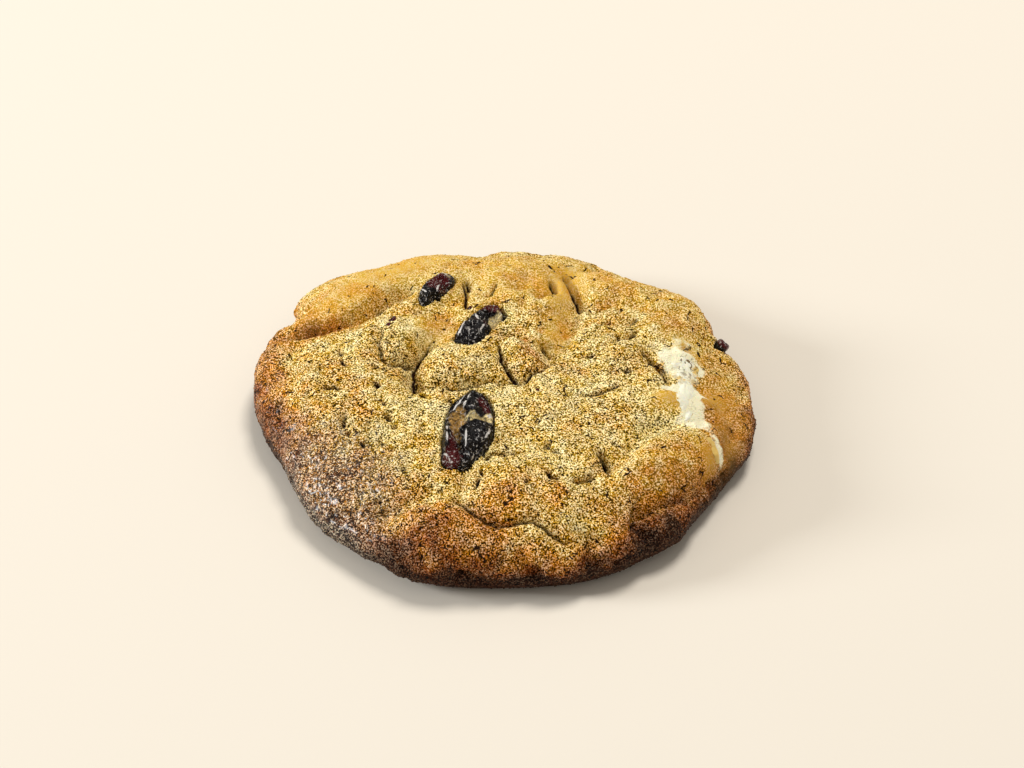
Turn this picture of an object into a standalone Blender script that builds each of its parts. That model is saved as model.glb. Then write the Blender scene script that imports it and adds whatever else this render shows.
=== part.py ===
"""White chocolate cranberry cookie: a baked dough body with dried cranberries and white chocolate in its crust.

A Blender 4.5 script. Lengths are millimetres up to the making of each mesh, which turns them into metres.
A place on the crust is given unrolled, as (u, v): the way in mm along the crust from the middle of the top,
to the right and to the back, as if the top and the side wall were pressed flat. +Z is up, and +X is the
cookie's right.
"""

import random

import bpy
import numpy as np
from mathutils import Vector, noise

MM = 0.001

# Dough body, seen from above
HALF_LENGTH = 40.6
HALF_WIDTH = 37.4
LONG_AXIS = -24.0
RIM_LOBES = (  # angle and half width in degrees, and how far the rim stands out
    (140.0, 8.0, 2.3),
    (152.0, 3.2, -2.2),
    (-162.0, 19.0, -2.5),
    (-104.0, 19.0, 2.4),
    (-70.0, 14.0, 1.4),
    (-34.0, 13.0, -1.5),
    (6.0, 14.0, 0.7),
    (33.0, 7.0, 1.8),
    (50.5, 4.0, -1.7),
    (72.0, 20.0, 1.7),
    (98.0, 10.0, -1.0),
)
LOBE_REACH = 4.0  # power with which the rim's lobes fade towards the middle

# Dough body, seen from the side
THICKNESS = 13.4
BULGE_HEIGHT = 4.2
BASE_TUCK = 2.2
TOP_POWER = 4.0
MEAN_RADIUS = (HALF_LENGTH + HALF_WIDTH) / 2
BASE_FADE = 3.5  # the relief dies away this near the base
SECTION_STEPS = 400
TUCK_STEPS = 60

# Swells of the crust: middle (u, v), half length, half width, turn in degrees, height
SWELL_EDGE = 3.0  # power with which a swell falls away at its edge
SWELLS = (
    (-24.5, 19.5, 15.0, 7.5, 38.0, 1.2),  # flap along the back left
    (-25.0, -6.0, 10.0, 10.0, 0.0, 0.9),  # left plate
    (-37.5, 1.0, 9.0, 3.5, 90.0, 0.7),  # roll along the left rim
    (-14.6, 7.8, 4.6, 4.2, 0.0, 1.0),  # lump under the small fruit bit
    (-6.3, 1.2, 5.6, 4.2, 5.0, 1.3),  # round lump at the middle
    (4.2, 2.3, 4.4, 3.7, 90.0, 0.8),  # browned lump beside it
    (4.0, 15.5, 5.5, 5.0, 0.0, 0.8),
    (2.5, 27.5, 9.0, 5.0, 0.0, 1.1),
    (-9.0, 29.5, 6.0, 5.0, 0.0, 0.8),
    (10.3, 19.0, 6.5, 2.6, 85.0, 0.9),  # smooth ridge
    (20.0, 23.0, 7.0, 6.0, 0.0, 1.3),
    (29.5, 15.0, 7.0, 6.0, 90.0, 0.9),
    (28.0, 20.0, 5.5, 4.0, -25.0, 0.9),
    (12.0, -11.0, 12.0, 10.0, 0.0, 0.3),  # broad right plate
    (2.5, -27.8, 8.0, 5.5, 0.0, 1.0),  # raised front plate
    (26.5, -19.0, 9.0, 5.0, 28.0, 1.7),  # rolled brown lobe
    (34.5, -3.0, 13.0, 5.0, 95.0, -1.0),  # slope of the right skirt
    (-10.4, -34.5, 7.0, 5.0, 10.0, 1.2),  # front left bulge
    (3.0, -39.0, 10.0, 4.0, 0.0, 0.5),
    (28.0, -30.5, 5.0, 4.0, 30.0, 0.9),
    (18.0, -36.0, 4.5, 3.5, 20.0, 0.6),
    (-30.0, -30.0, 9.0, 6.0, 135.0, 0.6),
    (-8.5, 12.0, 4.5, 5.0, 0.0, -0.9),  # hollow between the two upper berries
    (2.5, 9.8, 4.0, 2.5, 0.0, -0.7),
    (-4.8, -15.4, 11.0, 6.5, 82.0, -0.4),  # seat of the large berry
)

# Folds and cracks: half width, depth, how much the left side stands up on the way along, then the way
FOLDS = (
    (1.0, 2.2, 1.0, ((-36.0, 12.8), (-31.0, 11.2), (-27.0, 11.2), (-20.7, 13.5), (-15.2, 19.6), (-13.1, 20.8))),
    (1.6, 0.8, 0.0, ((-31.7, 9.4), (-33.5, 4.3), (-33.0, -0.4))),
    (0.7, 1.1, 0.6, ((-18.2, 9.5), (-18.5, 5.5), (-18.2, 2.7), (-16.7, 1.5), (-15.2, 2.4), (-12.5, 4.2))),
    (1.3, 3.2, 0.0, ((-10.5, 7.5), (-12.0, 4.7), (-13.4, 2.0), (-13.1, -3.0), (-13.3, -5.0))),
    (0.8, 1.6, -0.4, ((-13.3, -5.0), (-9.5, -3.1), (-6.8, -4.2), (-2.0, -3.1), (3.3, -3.5))),
    (0.5, 1.0, 0.0, ((-0.4, 5.5), (0.2, 2.4), (1.1, -0.6), (3.3, -3.5))),
    (0.6, 1.1, -0.4, ((3.3, -3.5), (4.7, -2.3), (6.8, -0.3), (8.1, 1.3))),
    (1.2, 1.2, 0.0, ((8.1, 1.3), (8.3, 3.8), (7.2, 7.0))),
    (0.6, 1.0, 0.0, ((-0.5, 8.3), (3.7, 8.0), (5.2, 8.6))),
    (0.5, 1.1, 0.0, ((-6.3, 23.5), (-5.5, 19.7), (-5.4, 15.6))),
    (0.6, 1.0, 0.0, ((-2.5, 18.7), (-1.5, 19.4), (-0.4, 21.9))),
    (0.7, 1.5, 0.0, ((8.4, 24.4), (9.3, 21.1), (8.6, 19.9), (6.6, 18.3))),
    (0.9, 2.0, 0.0, ((10.8, 26.8), (12.8, 22.3), (13.1, 18.9), (14.4, 16.6))),
    (0.7, 1.2, 0.0, ((13.5, 28.5), (16.8, 29.1), (20.1, 31.8))),
    (1.8, 2.0, 0.5, ((12.9, 18.5), (12.1, 14.6), (11.6, 11.0), (10.3, 7.1), (8.2, 4.7))),
    (0.5, 0.9, 0.0, ((18.9, 8.7), (19.1, 6.8), (20.5, 7.2), (22.4, 9.5))),
    (0.6, 1.1, 0.0, ((22.5, 5.2), (23.9, 1.6), (25.6, -0.3))),
    (1.4, 1.2, 1.0, ((28.5, -11.3), (23.1, -13.4), (20.9, -16.3), (19.2, -18.9), (16.5, -22.8))),
    (1.0, 0.8, 0.0, ((30.4, 0.0), (32.0, -2.8), (35.7, -5.3))),
    (0.5, 1.0, -0.5, ((-2.6, -22.2), (-0.8, -21.3), (1.5, -21.0), (4.4, -20.6))),
    (0.9, 1.0, 0.6, ((-3.6, -23.2), (-5.2, -25.0), (-5.9, -29.1), (-7.0, -31.0))),
    (0.5, 1.2, 0.5, ((-8.2, -28.3), (-3.2, -33.0), (0.0, -34.6), (5.3, -33.5), (9.5, -35.6), (12.0, -36.0))),
    (0.5, 1.0, 0.0, ((11.0, -25.6), (14.1, -24.3))),
    (0.5, 1.0, 0.0, ((15.4, -19.1), (16.4, -20.6), (16.0, -22.6))),
    (1.3, 1.1, -0.4, ((-21.0, -31.9), (-16.9, -31.5), (-12.0, -29.4), (-9.1, -28.7))),
    (1.1, 1.3, 0.6, ((20.5, -30.5), (28.0, -26.6), (31.9, -24.8), (34.5, -22.0))),
    (1.0, 1.4, 0.0, ((20.6, -28.0), (21.0, -30.5), (23.2, -34.5))),
    (0.8, 1.0, 0.0, ((13.5, -35.3), (13.9, -37.5), (14.5, -40.0))),
    (1.2, 1.2, 0.0, ((2.5, -38.2), (4.0, -39.5), (6.8, -41.8))),
    (0.6, 0.7, 0.0, ((14.3, -38.7), (19.4, -37.0))),
    (1.2, 1.6, 0.0, ((-7.0, -41.6), (-5.3, -42.2), (-4.2, -43.6))),
    (1.2, 1.2, 0.0, ((33.9, -21.7), (36.2, -19.5), (39.0, -17.0))),
    (0.8, 0.8, 0.0, ((-16.5, -33.0), (-15.5, -36.0), (-14.0, -39.5))),
)
SHOULDER = 0.3  # a fold's wide valley, as a share of its depth
SHOULDER_WIDTH = 3.0
LIP_REACH = 4.0
RUN_OUT = 0.16  # the share of a fold's length over which each end dies away
END_DEPTH = 0.35  # what is left of its depth at each end
LEAST_WIDTH = 0.85  # a narrower crack is widened to this, the finest that the mesh holds

# Short crags all round the side wall
CRAG_SEED = 11
CRAG_COUNT = 22
CRAG_ALONG = (36.0, 43.0)
CRAG_LENGTH = (3.0, 7.5)
CRAG_WIDTH = 1.0
CRAG_DEPTH = (0.5, 1.0)
CRAG_SPREAD = 0.35  # how far a crag strays from its even place, as a share of the spacing
CRAG_LEAN = 100.0
CRAG_BEND = 0.3

# Unevenness of the whole crust: size of a bump and its height
BUMPS = ((9.0, 0.55), (3.8, 0.28))
TORN_MIDDLE = (1.0, 13.5)  # here the dough broke open as it baked, and is lumpier
TORN_HALF = (20.0, 14.0)
TORN_BUMPS = (4.2, 0.8)
WANDER = (2.6, 0.5)  # size and reach of the wander that makes each fold crooked
DEEPEST = -4.2
HIGHEST = 3.0

# Mesh of the dough body
GRID = 112
DOUGH_KEPT = 0.245  # share of the faces that thinning keeps

# Gap between the dough and each thing set in it
GAP = 0.4

# Fruit and chocolate: node, middle (u, v), turn in degrees, half length, half width, half height, how far the
# middle stands above the crust, corners of the outline (angle, half width, share of the radius), hollow of its
# upper side (x, y, half size, depth), whether it bends with the crust, and its material
INLAYS = (
    ("cranberry_front", (-5.0, -15.4), 82.0, 8.9, 4.1, 2.7, -1.3,
     ((3.0, 9.0, 0.09), (39.0, 12.0, 0.06), (103.0, 20.0, -0.07), (161.0, 11.0, 0.17), (-157.0, 10.0, -0.06),
      (-110.0, 30.0, 0.07)),
     (0.8, 1.2, 2.6, 1.3), False, "dried_cranberry"),
    ("cranberry_middle", (-3.3, 10.2), 60.0, 6.3, 2.5, 2.2, -0.8,
     ((-148.0, 14.0, 0.3), (-32.0, 11.0, 0.3), (-90.0, 30.0, -0.2), (-174.0, 9.0, -0.1)),
     (2.2, -0.9, 1.2, 0.7), False, "dried_cranberry"),
    ("cranberry_back", (-10.3, 20.1), 61.0, 4.3, 1.9, 1.9, -0.8,
     ((-173.0, 12.0, 0.18), (-155.0, 10.0, -0.18), (-28.0, 20.0, 0.1), (51.0, 20.0, 0.1)),
     (0.6, 0.2, 1.2, 0.4), False, "dried_cranberry"),
    ("cranberry_edge", (37.4, 12.9), 71.0, 2.1, 1.3, 1.3, 0.4,
     (), (0.0, 0.0, 0.8, 0.1), False, "dried_cranberry"),
    ("white_chocolate_right", (28.7, -2.0), 84.0, 9.5, 2.6, 1.6, -1.0,
     ((37.0, 18.0, 0.2), (-24.0, 18.0, 0.15), (-112.0, 16.0, -0.1), (-150.0, 18.0, -0.26), (180.0, 10.0, 0.13)),
     (0.0, 0.0, 2.0, 0.0), True, "white_chocolate"),
    ("white_chocolate_small", (33.4, -15.8), -50.0, 3.3, 1.15, 1.3, -0.9,
     ((90.0, 50.0, 0.22),),
     (0.0, 0.0, 1.0, 0.0), True, "white_chocolate"),
)
INLAY_SIDES = 22
INLAY_RINGS = 10
SMALL_SIDES = 12
SMALL_RINGS = 6
SMALL_LENGTH = 4.0
WRINKLE_SIZE = 1.7
WRINKLE = 0.16
ROUNDING = 0.75  # power that gives an inlay fuller sides than an ellipsoid's

# Colour (linear), roughness
FINISHES = {
    "baked_dough": ((0.52, 0.33, 0.10), 0.75),
    "dried_cranberry": ((0.035, 0.006, 0.008), 0.35),
    "white_chocolate": ((0.80, 0.73, 0.48), 0.45),
}


def swell(gap, width):
    return np.exp(-((gap / width) ** 2))


def ease(share):
    """A smooth rise from 0 to 1 as the share goes from 0 to 1."""
    share = np.clip(share, 0.0, 1.0)
    return share * share * (3.0 - 2.0 * share)


def turned(angle, centre):
    """The way from one angle to another in degrees, between -180 and 180."""
    return (angle - centre + 180.0) % 360.0 - 180.0


def oval_radius(angle, half_length, half_width):
    angle = np.radians(angle)
    return half_length * half_width / np.hypot(half_width * np.cos(angle), half_length * np.sin(angle))


def rim_radius(angle, share):
    """Distance from the middle at a share of the way out: an oval, which gains the rim's lobes on the way."""
    lobes = sum(out * swell(turned(angle, at), width) for at, width, out in RIM_LOBES)
    return share * (oval_radius(angle - LONG_AXIS, HALF_LENGTH, HALF_WIDTH) + lobes * share**LOBE_REACH)


def section():
    """The dough's section, from the top to the base: way along the crust, share of the radius, height."""
    rise = 0.5 * np.pi * np.linspace(0.0, 1.0, SECTION_STEPS) ** 2
    share = np.sin(rise) ** (2.0 / TOP_POWER)
    height = BULGE_HEIGHT + (THICKNESS - BULGE_HEIGHT) * np.cos(rise)
    down = np.linspace(0.0, 1.0, TUCK_STEPS)[1:]
    share = np.append(share, 1.0 - BASE_TUCK / MEAN_RADIUS * down**2)
    height = np.append(height, BULGE_HEIGHT * (1.0 - down))
    steps = np.hypot(np.diff(share) * MEAN_RADIUS, np.diff(height))
    return np.append(0.0, np.cumsum(steps)), share, height


ALONG, SHARE, HEIGHT = section()
CRUST_REACH = ALONG[-1]


def smooth_crust(u, v):
    """Points of the crust before its relief."""
    along = np.hypot(u, v)
    angle = np.degrees(np.arctan2(v, u))
    radius = rim_radius(angle, np.interp(along, ALONG, SHARE))
    height = np.interp(along, ALONG, HEIGHT)
    return np.stack([radius * np.cos(np.radians(angle)), radius * np.sin(np.radians(angle)), height], -1)


def crust_normal(u, v, step=0.25):
    across = smooth_crust(u + step, v) - smooth_crust(u - step, v)
    back = smooth_crust(u, v + step) - smooth_crust(u, v - step)
    normal = np.cross(across, back)
    return normal / np.maximum(np.linalg.norm(normal, axis=-1, keepdims=True), 1e-9)


def bumps(points, size, seed):
    """Smooth noise between -1 and 1 at each point, with bumps of this size."""
    shift = Vector((seed * 17.3, seed * 5.1, seed * 9.7))
    flat = points.reshape(-1, 3)
    found = [noise.noise(Vector(point) / size + shift) for point in flat.tolist()]
    return np.array(found).reshape(points.shape[:-1])


def fold_frame(u, v, way):
    """Distance to a fold, which side of it a place is on, and the share of the fold's length there."""
    way = np.array(way)
    lengths = np.linalg.norm(np.diff(way, axis=0), axis=1)
    done = np.append(0.0, np.cumsum(lengths))
    nearest = np.full(u.shape, 1e9)
    side = np.zeros(u.shape)
    share = np.zeros(u.shape)
    for start, end, before, length in zip(way[:-1], way[1:], done, lengths):
        run = (end - start) / length
        at = np.clip((u - start[0]) * run[0] + (v - start[1]) * run[1], 0.0, length)
        gap_u = u - start[0] - at * run[0]
        gap_v = v - start[1] - at * run[1]
        gap = np.hypot(gap_u, gap_v)
        closer = gap < nearest
        nearest = np.where(closer, gap, nearest)
        side = np.where(closer, np.sign(run[0] * gap_v - run[1] * gap_u), side)
        share = np.where(closer, (before + at) / done[-1], share)
    return nearest, side, share


def fold_relief(u, v, width, depth, lift, way):
    gap, side, share = fold_frame(u, v, way)
    width = max(width, LEAST_WIDTH)
    strength = END_DEPTH + (1.0 - END_DEPTH) * ease(np.minimum(share, 1.0 - share) / RUN_OUT)
    cut = swell(gap, width) + SHOULDER * swell(gap, SHOULDER_WIDTH * width)
    raised = (side * np.sign(lift) > 0) * abs(lift) * np.exp(-gap / LIP_REACH) * (1.0 - swell(gap, width))
    return strength * (raised - depth * cut)


def wall_crags():
    """Short folds at seeded places all round the side wall."""
    draw = random.Random(CRAG_SEED)
    crags = []
    for index in range(CRAG_COUNT):
        angle = np.radians((index + draw.uniform(-CRAG_SPREAD, CRAG_SPREAD)) * 360.0 / CRAG_COUNT)
        along = draw.uniform(*CRAG_ALONG)
        lean = angle + np.radians(draw.uniform(-CRAG_LEAN, CRAG_LEAN))
        half = 0.5 * draw.uniform(*CRAG_LENGTH)
        middle = np.array([along * np.cos(angle), along * np.sin(angle)])
        run = half * np.array([np.cos(lean), np.sin(lean)])
        bend = CRAG_BEND * half * np.array([-np.sin(lean), np.cos(lean)])
        way = (middle - run, middle + bend, middle + run)
        crags.append((CRAG_WIDTH, draw.uniform(*CRAG_DEPTH), 0.0, way))
    return crags


def relief(u, v):
    """How far the finished crust stands out from the smooth one."""
    points = smooth_crust(u, v)
    size, reach = WANDER
    u_bent = u + reach * bumps(points, size, 1)
    v_bent = v + reach * bumps(points, size, 2)
    out = sum(height * bumps(points, bump, 3 + index) for index, (bump, height) in enumerate(BUMPS))
    torn = np.hypot((u - TORN_MIDDLE[0]) / TORN_HALF[0], (v - TORN_MIDDLE[1]) / TORN_HALF[1])
    torn_size, torn_height = TORN_BUMPS
    out = out + torn_height * np.exp(-(torn**4)) * bumps(points, torn_size, 9)
    for at_u, at_v, half_length, half_width, turn, height in SWELLS:
        turn = np.radians(turn)
        x = ((u - at_u) * np.cos(turn) + (v - at_v) * np.sin(turn)) / half_length
        y = ((v - at_v) * np.cos(turn) - (u - at_u) * np.sin(turn)) / half_width
        out = out + height * np.exp(-(np.hypot(x, y) ** SWELL_EDGE))
    for fold in FOLDS + tuple(wall_crags()):
        out = out + fold_relief(u_bent, v_bent, *fold)
    return np.clip(out, DEEPEST, HIGHEST) * ease((CRUST_REACH - np.hypot(u, v)) / BASE_FADE)


def crust(u, v):
    points = smooth_crust(u, v) + crust_normal(u, v) * relief(u, v)[..., None]
    points[..., 2] = np.maximum(points[..., 2], 0.0)
    return points


def disc_grid(count, reach):
    """A square grid of count by count cells pressed into a disc, so that its cells stay nearly square."""
    line = np.linspace(-1.0, 1.0, count + 1)
    a, b = np.meshgrid(line, line)
    outer = np.maximum(np.abs(a), np.abs(b))
    safe_a = np.where(a == 0.0, 1.0, a)
    safe_b = np.where(b == 0.0, 1.0, b)
    angle = np.where(
        np.abs(a) >= np.abs(b),
        0.25 * np.pi * b / safe_a + np.where(a < 0.0, np.pi, 0.0),
        0.5 * np.pi - 0.25 * np.pi * a / safe_b + np.where(b < 0.0, np.pi, 0.0),
    )
    angle = np.where(outer == 0.0, 0.0, angle)
    return reach * outer * np.cos(angle), reach * outer * np.sin(angle)


def finish(name):
    colour, roughness = FINISHES[name]
    material = bpy.data.materials.get(name) or bpy.data.materials.new(name)
    material.use_nodes = True
    shader = material.node_tree.nodes["Principled BSDF"]
    shader.inputs["Base Color"].default_value = (*colour, 1.0)
    shader.inputs["Roughness"].default_value = roughness
    return material


def add_object(name, points, faces, finish_name):
    mesh = bpy.data.meshes.new(name)
    mesh.from_pydata((points * MM).tolist(), [], faces)
    mesh.validate()
    mesh.shade_smooth()
    mesh.materials.append(finish(finish_name))
    item = bpy.data.objects.new(name, mesh)
    bpy.context.collection.objects.link(item)
    return item


def dough_body():
    """Top and side wall on one grid, and one flat face for the base."""
    u, v = disc_grid(GRID, CRUST_REACH)
    points = crust(u, v)
    points[0, :, 2] = points[-1, :, 2] = points[:, 0, 2] = points[:, -1, 2] = 0.0
    side = GRID + 1
    faces = [
        [row * side + col, row * side + col + 1, (row + 1) * side + col + 1, (row + 1) * side + col]
        for row in range(GRID)
        for col in range(GRID)
    ]
    front = [col for col in range(GRID)]
    right = [row * side + GRID for row in range(GRID)]
    back = [GRID * side + col for col in range(GRID, 0, -1)]
    left = [row * side for row in range(GRID, 0, -1)]
    faces.append((front + right + back + left)[::-1])
    body = add_object("dough", points.reshape(-1, 3), faces, "baked_dough")
    thin = body.modifiers.new("thin_flat_parts", "DECIMATE")
    thin.ratio = DOUGH_KEPT
    return body


def inlay(
    name, middle, turn, half_length, half_width, half_height, stands, corners, hollow, bends, kind, grow=0.0
):
    """A closed lump with its long side along turn, set in the crust. A grown copy of it cuts its seat."""
    small = half_length < SMALL_LENGTH
    sides, rings = (SMALL_SIDES, SMALL_RINGS) if small else (INLAY_SIDES, INLAY_RINGS)
    around = np.linspace(0.0, 360.0, sides, endpoint=False)
    up = np.radians(np.linspace(-90.0, 90.0, rings + 1)[1:-1])
    outline = oval_radius(around, half_length, half_width)
    outline = outline * (1.0 + sum(out * swell(turned(around, at), width) for at, width, out in corners)) + grow
    share = np.cos(up)[:, None] ** ROUNDING
    x = share * outline * np.cos(np.radians(around))
    y = share * outline * np.sin(np.radians(around))
    z = np.repeat((half_height + grow) * np.sin(up)[:, None], sides, axis=1)
    x = np.concatenate([[0.0], x.ravel(), [0.0]])
    y = np.concatenate([[0.0], y.ravel(), [0.0]])
    z = np.concatenate([[-half_height - grow], z.ravel(), [half_height + grow]])
    hollow_x, hollow_y, size, depth = hollow
    inside = swell(np.hypot(x - hollow_x, y - hollow_y), size)
    z = z + WRINKLE * half_height * bumps(np.stack([x, y, z * 0.5], -1), WRINKLE_SIZE, len(name))
    z = np.where(z > 0.0, z - depth * inside, z)
    turn = np.radians(turn)
    u = middle[0] + x * np.cos(turn) - y * np.sin(turn)
    v = middle[1] + x * np.sin(turn) + y * np.cos(turn)
    ground = relief(u, v) if bends else relief(np.array([middle[0]]), np.array([middle[1]]))
    points = smooth_crust(u, v) + crust_normal(u, v) * (ground + stands + z)[:, None]
    faces = [[0, 1 + (side + 1) % sides, 1 + side] for side in range(sides)]
    for ring in range(rings - 2):
        low = 1 + ring * sides
        for side in range(sides):
            after = (side + 1) % sides
            faces.append([low + side, low + after, low + sides + after, low + sides + side])
    last = 1 + (rings - 2) * sides
    faces += [[last + side, last + (side + 1) % sides, len(x) - 1] for side in range(sides)]
    return add_object(name if not grow else "seat_of_" + name, points, faces, kind)


def set_in_dough(body, item):
    item.hide_render = True
    item.display_type = "WIRE"
    cut = body.modifiers.new(item.name, "BOOLEAN")
    cut.operation = "DIFFERENCE"
    cut.solver = "EXACT"
    cut.object = item


def centre_on_base(items):
    """Moves every mesh so that the origin is at the middle of the whole cookie's box, on its base."""
    bpy.context.view_layer.update()
    graph = bpy.context.evaluated_depsgraph_get()
    corners = []
    for item in items:
        if not item.hide_render:
            mesh = item.evaluated_get(graph).to_mesh()
            corners += [vertex.co.copy() for vertex in mesh.vertices]
    low = Vector([min(corner[axis] for corner in corners) for axis in range(3)])
    high = Vector([max(corner[axis] for corner in corners) for axis in range(3)])
    shift = Vector(((low.x + high.x) / 2, (low.y + high.y) / 2, low.z))
    for item in items:
        for vertex in item.data.vertices:
            vertex.co -= shift


def main():
    for item in list(bpy.data.objects):
        bpy.data.objects.remove(item, do_unlink=True)
    body = dough_body()
    items = [body]
    for parts in INLAYS:
        items.append(inlay(*parts))
        seat = inlay(*parts, grow=GAP)
        set_in_dough(body, seat)
        items.append(seat)
    centre_on_base(items)


main()
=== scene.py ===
"""White chocolate cranberry cookie: its fine crust, fruit, chocolate and crumbs, on a plain pale floor.

The functions count in millimetres, and each mesh is turned into metres as it is made. A place on the crust is
given unrolled, as (u, v): the way in mm along the crust from the middle of the top, to the right and to the
back, as if the top and the side wall were pressed flat. +Z is up, and +X is the cookie's right.
"""

import functools
import random

import bpy
import numpy as np
from bpy.props import FloatProperty, FloatVectorProperty, IntProperty, PointerProperty
from bpy.types import Operator, Panel, PropertyGroup
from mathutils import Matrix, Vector, noise


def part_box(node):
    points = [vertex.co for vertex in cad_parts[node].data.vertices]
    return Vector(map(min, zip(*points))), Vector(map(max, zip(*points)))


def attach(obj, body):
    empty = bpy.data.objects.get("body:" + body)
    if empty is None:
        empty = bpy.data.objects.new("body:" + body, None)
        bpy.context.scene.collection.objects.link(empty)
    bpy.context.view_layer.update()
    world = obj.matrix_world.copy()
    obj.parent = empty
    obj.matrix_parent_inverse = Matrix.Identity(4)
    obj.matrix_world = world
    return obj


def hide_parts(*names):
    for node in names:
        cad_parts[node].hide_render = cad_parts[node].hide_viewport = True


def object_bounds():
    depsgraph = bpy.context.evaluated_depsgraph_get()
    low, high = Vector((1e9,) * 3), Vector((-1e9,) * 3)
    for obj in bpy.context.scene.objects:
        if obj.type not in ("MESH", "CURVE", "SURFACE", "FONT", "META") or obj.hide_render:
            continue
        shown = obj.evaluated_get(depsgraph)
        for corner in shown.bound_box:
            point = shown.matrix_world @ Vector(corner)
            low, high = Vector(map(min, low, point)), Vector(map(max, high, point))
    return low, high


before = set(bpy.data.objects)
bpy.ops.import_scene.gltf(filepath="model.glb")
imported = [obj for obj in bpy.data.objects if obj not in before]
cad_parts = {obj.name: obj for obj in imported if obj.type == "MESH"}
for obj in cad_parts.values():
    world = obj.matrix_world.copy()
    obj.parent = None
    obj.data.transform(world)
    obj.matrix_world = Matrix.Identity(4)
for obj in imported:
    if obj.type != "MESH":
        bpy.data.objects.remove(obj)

bl_info = {
    "name": "White chocolate cranberry cookie",
    "version": (1, 0, 0),
    "blender": (4, 5, 0),
    "location": "View3D > Sidebar > Cookie",
    "description": "Bakes a cracked cookie crust and sets cranberries and white chocolate in it",
    "category": "Object",
}

MM = 0.001
CAD_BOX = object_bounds()
BODY = "root"

# Dough body, seen from above
HALF_LENGTH = 40.6
HALF_WIDTH = 37.4
LONG_AXIS = -24.0
RIM_LOBES = (  # angle and half width in degrees, and how far the rim stands out
    (140, 8, 2.3),
    (152, 3.2, -2.2),
    (-162, 19, -2.5),
    (-104, 19, 2.4),
    (-70, 14, 1.4),
    (-34, 13, -1.5),
    (6, 14, 0.7),
    (33, 7, 1.8),
    (50.5, 4, -1.7),
    (72, 20, 1.7),
    (98, 10, -1),
)
LOBE_REACH = 4.0  # power with which the rim's lobes fade towards the middle

# Dough body, seen from the side
THICKNESS = 13.4
BULGE_HEIGHT = 4.2
BASE_TUCK = 2.2
TOP_POWER = 4.0
MEAN_RADIUS = (HALF_LENGTH + HALF_WIDTH) / 2
BASE_FADE = 3.5  # the relief dies away this near the base
SECTION_STEPS = 400
TUCK_STEPS = 60

# Swells of the crust: middle (u, v), half length, half width, turn in degrees, height
SWELL_EDGE = 3.0  # power with which a swell falls away at its edge
SWELLS = (
    (-24.5, 19.5, 15, 7.5, 38, 1.2),  # flap along the back left
    (-25, -6, 10, 10, 0, 0.9),  # left plate
    (-37.5, 1, 9, 3.5, 90, 0.7),  # roll along the left rim
    (-14.6, 7.8, 4.6, 4.2, 0, 1),  # lump under the small fruit bit
    (-6.3, 1.2, 5.6, 4.2, 5, 1.3),  # round lump at the middle
    (4.2, 2.3, 4.4, 3.7, 90, 0.8),  # browned lump beside it
    (4, 15.5, 5.5, 5, 0, 0.8),
    (2.5, 27.5, 9, 5, 0, 1.1),
    (-9, 29.5, 6, 5, 0, 0.8),
    (10.3, 19, 6.5, 2.6, 85, 0.9),  # smooth ridge
    (20, 23, 7, 6, 0, 1.3),
    (29.5, 15, 7, 6, 90, 0.9),
    (28, 20, 5.5, 4, -25, 0.9),
    (12, -11, 12, 10, 0, 0.3),  # broad right plate
    (2.5, -27.8, 8, 5.5, 0, 1),  # raised front plate
    (26.5, -19, 9, 5, 28, 1.7),  # rolled brown lobe
    (34.5, -3, 13, 5, 95, -1),  # slope of the right skirt
    (-10.4, -34.5, 7, 5, 10, 1.2),  # front left bulge
    (3, -39, 10, 4, 0, 0.5),
    (28, -30.5, 5, 4, 30, 0.9),
    (18, -36, 4.5, 3.5, 20, 0.6),
    (-30, -30, 9, 6, 135, 0.6),
    (-8.5, 12, 4.5, 5, 0, -0.9),  # hollow between the two upper berries
    (2.5, 9.8, 4, 2.5, 0, -0.7),
    (-4.8, -15.4, 11, 6.5, 82, -0.4),  # seat of the large berry
)

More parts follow.
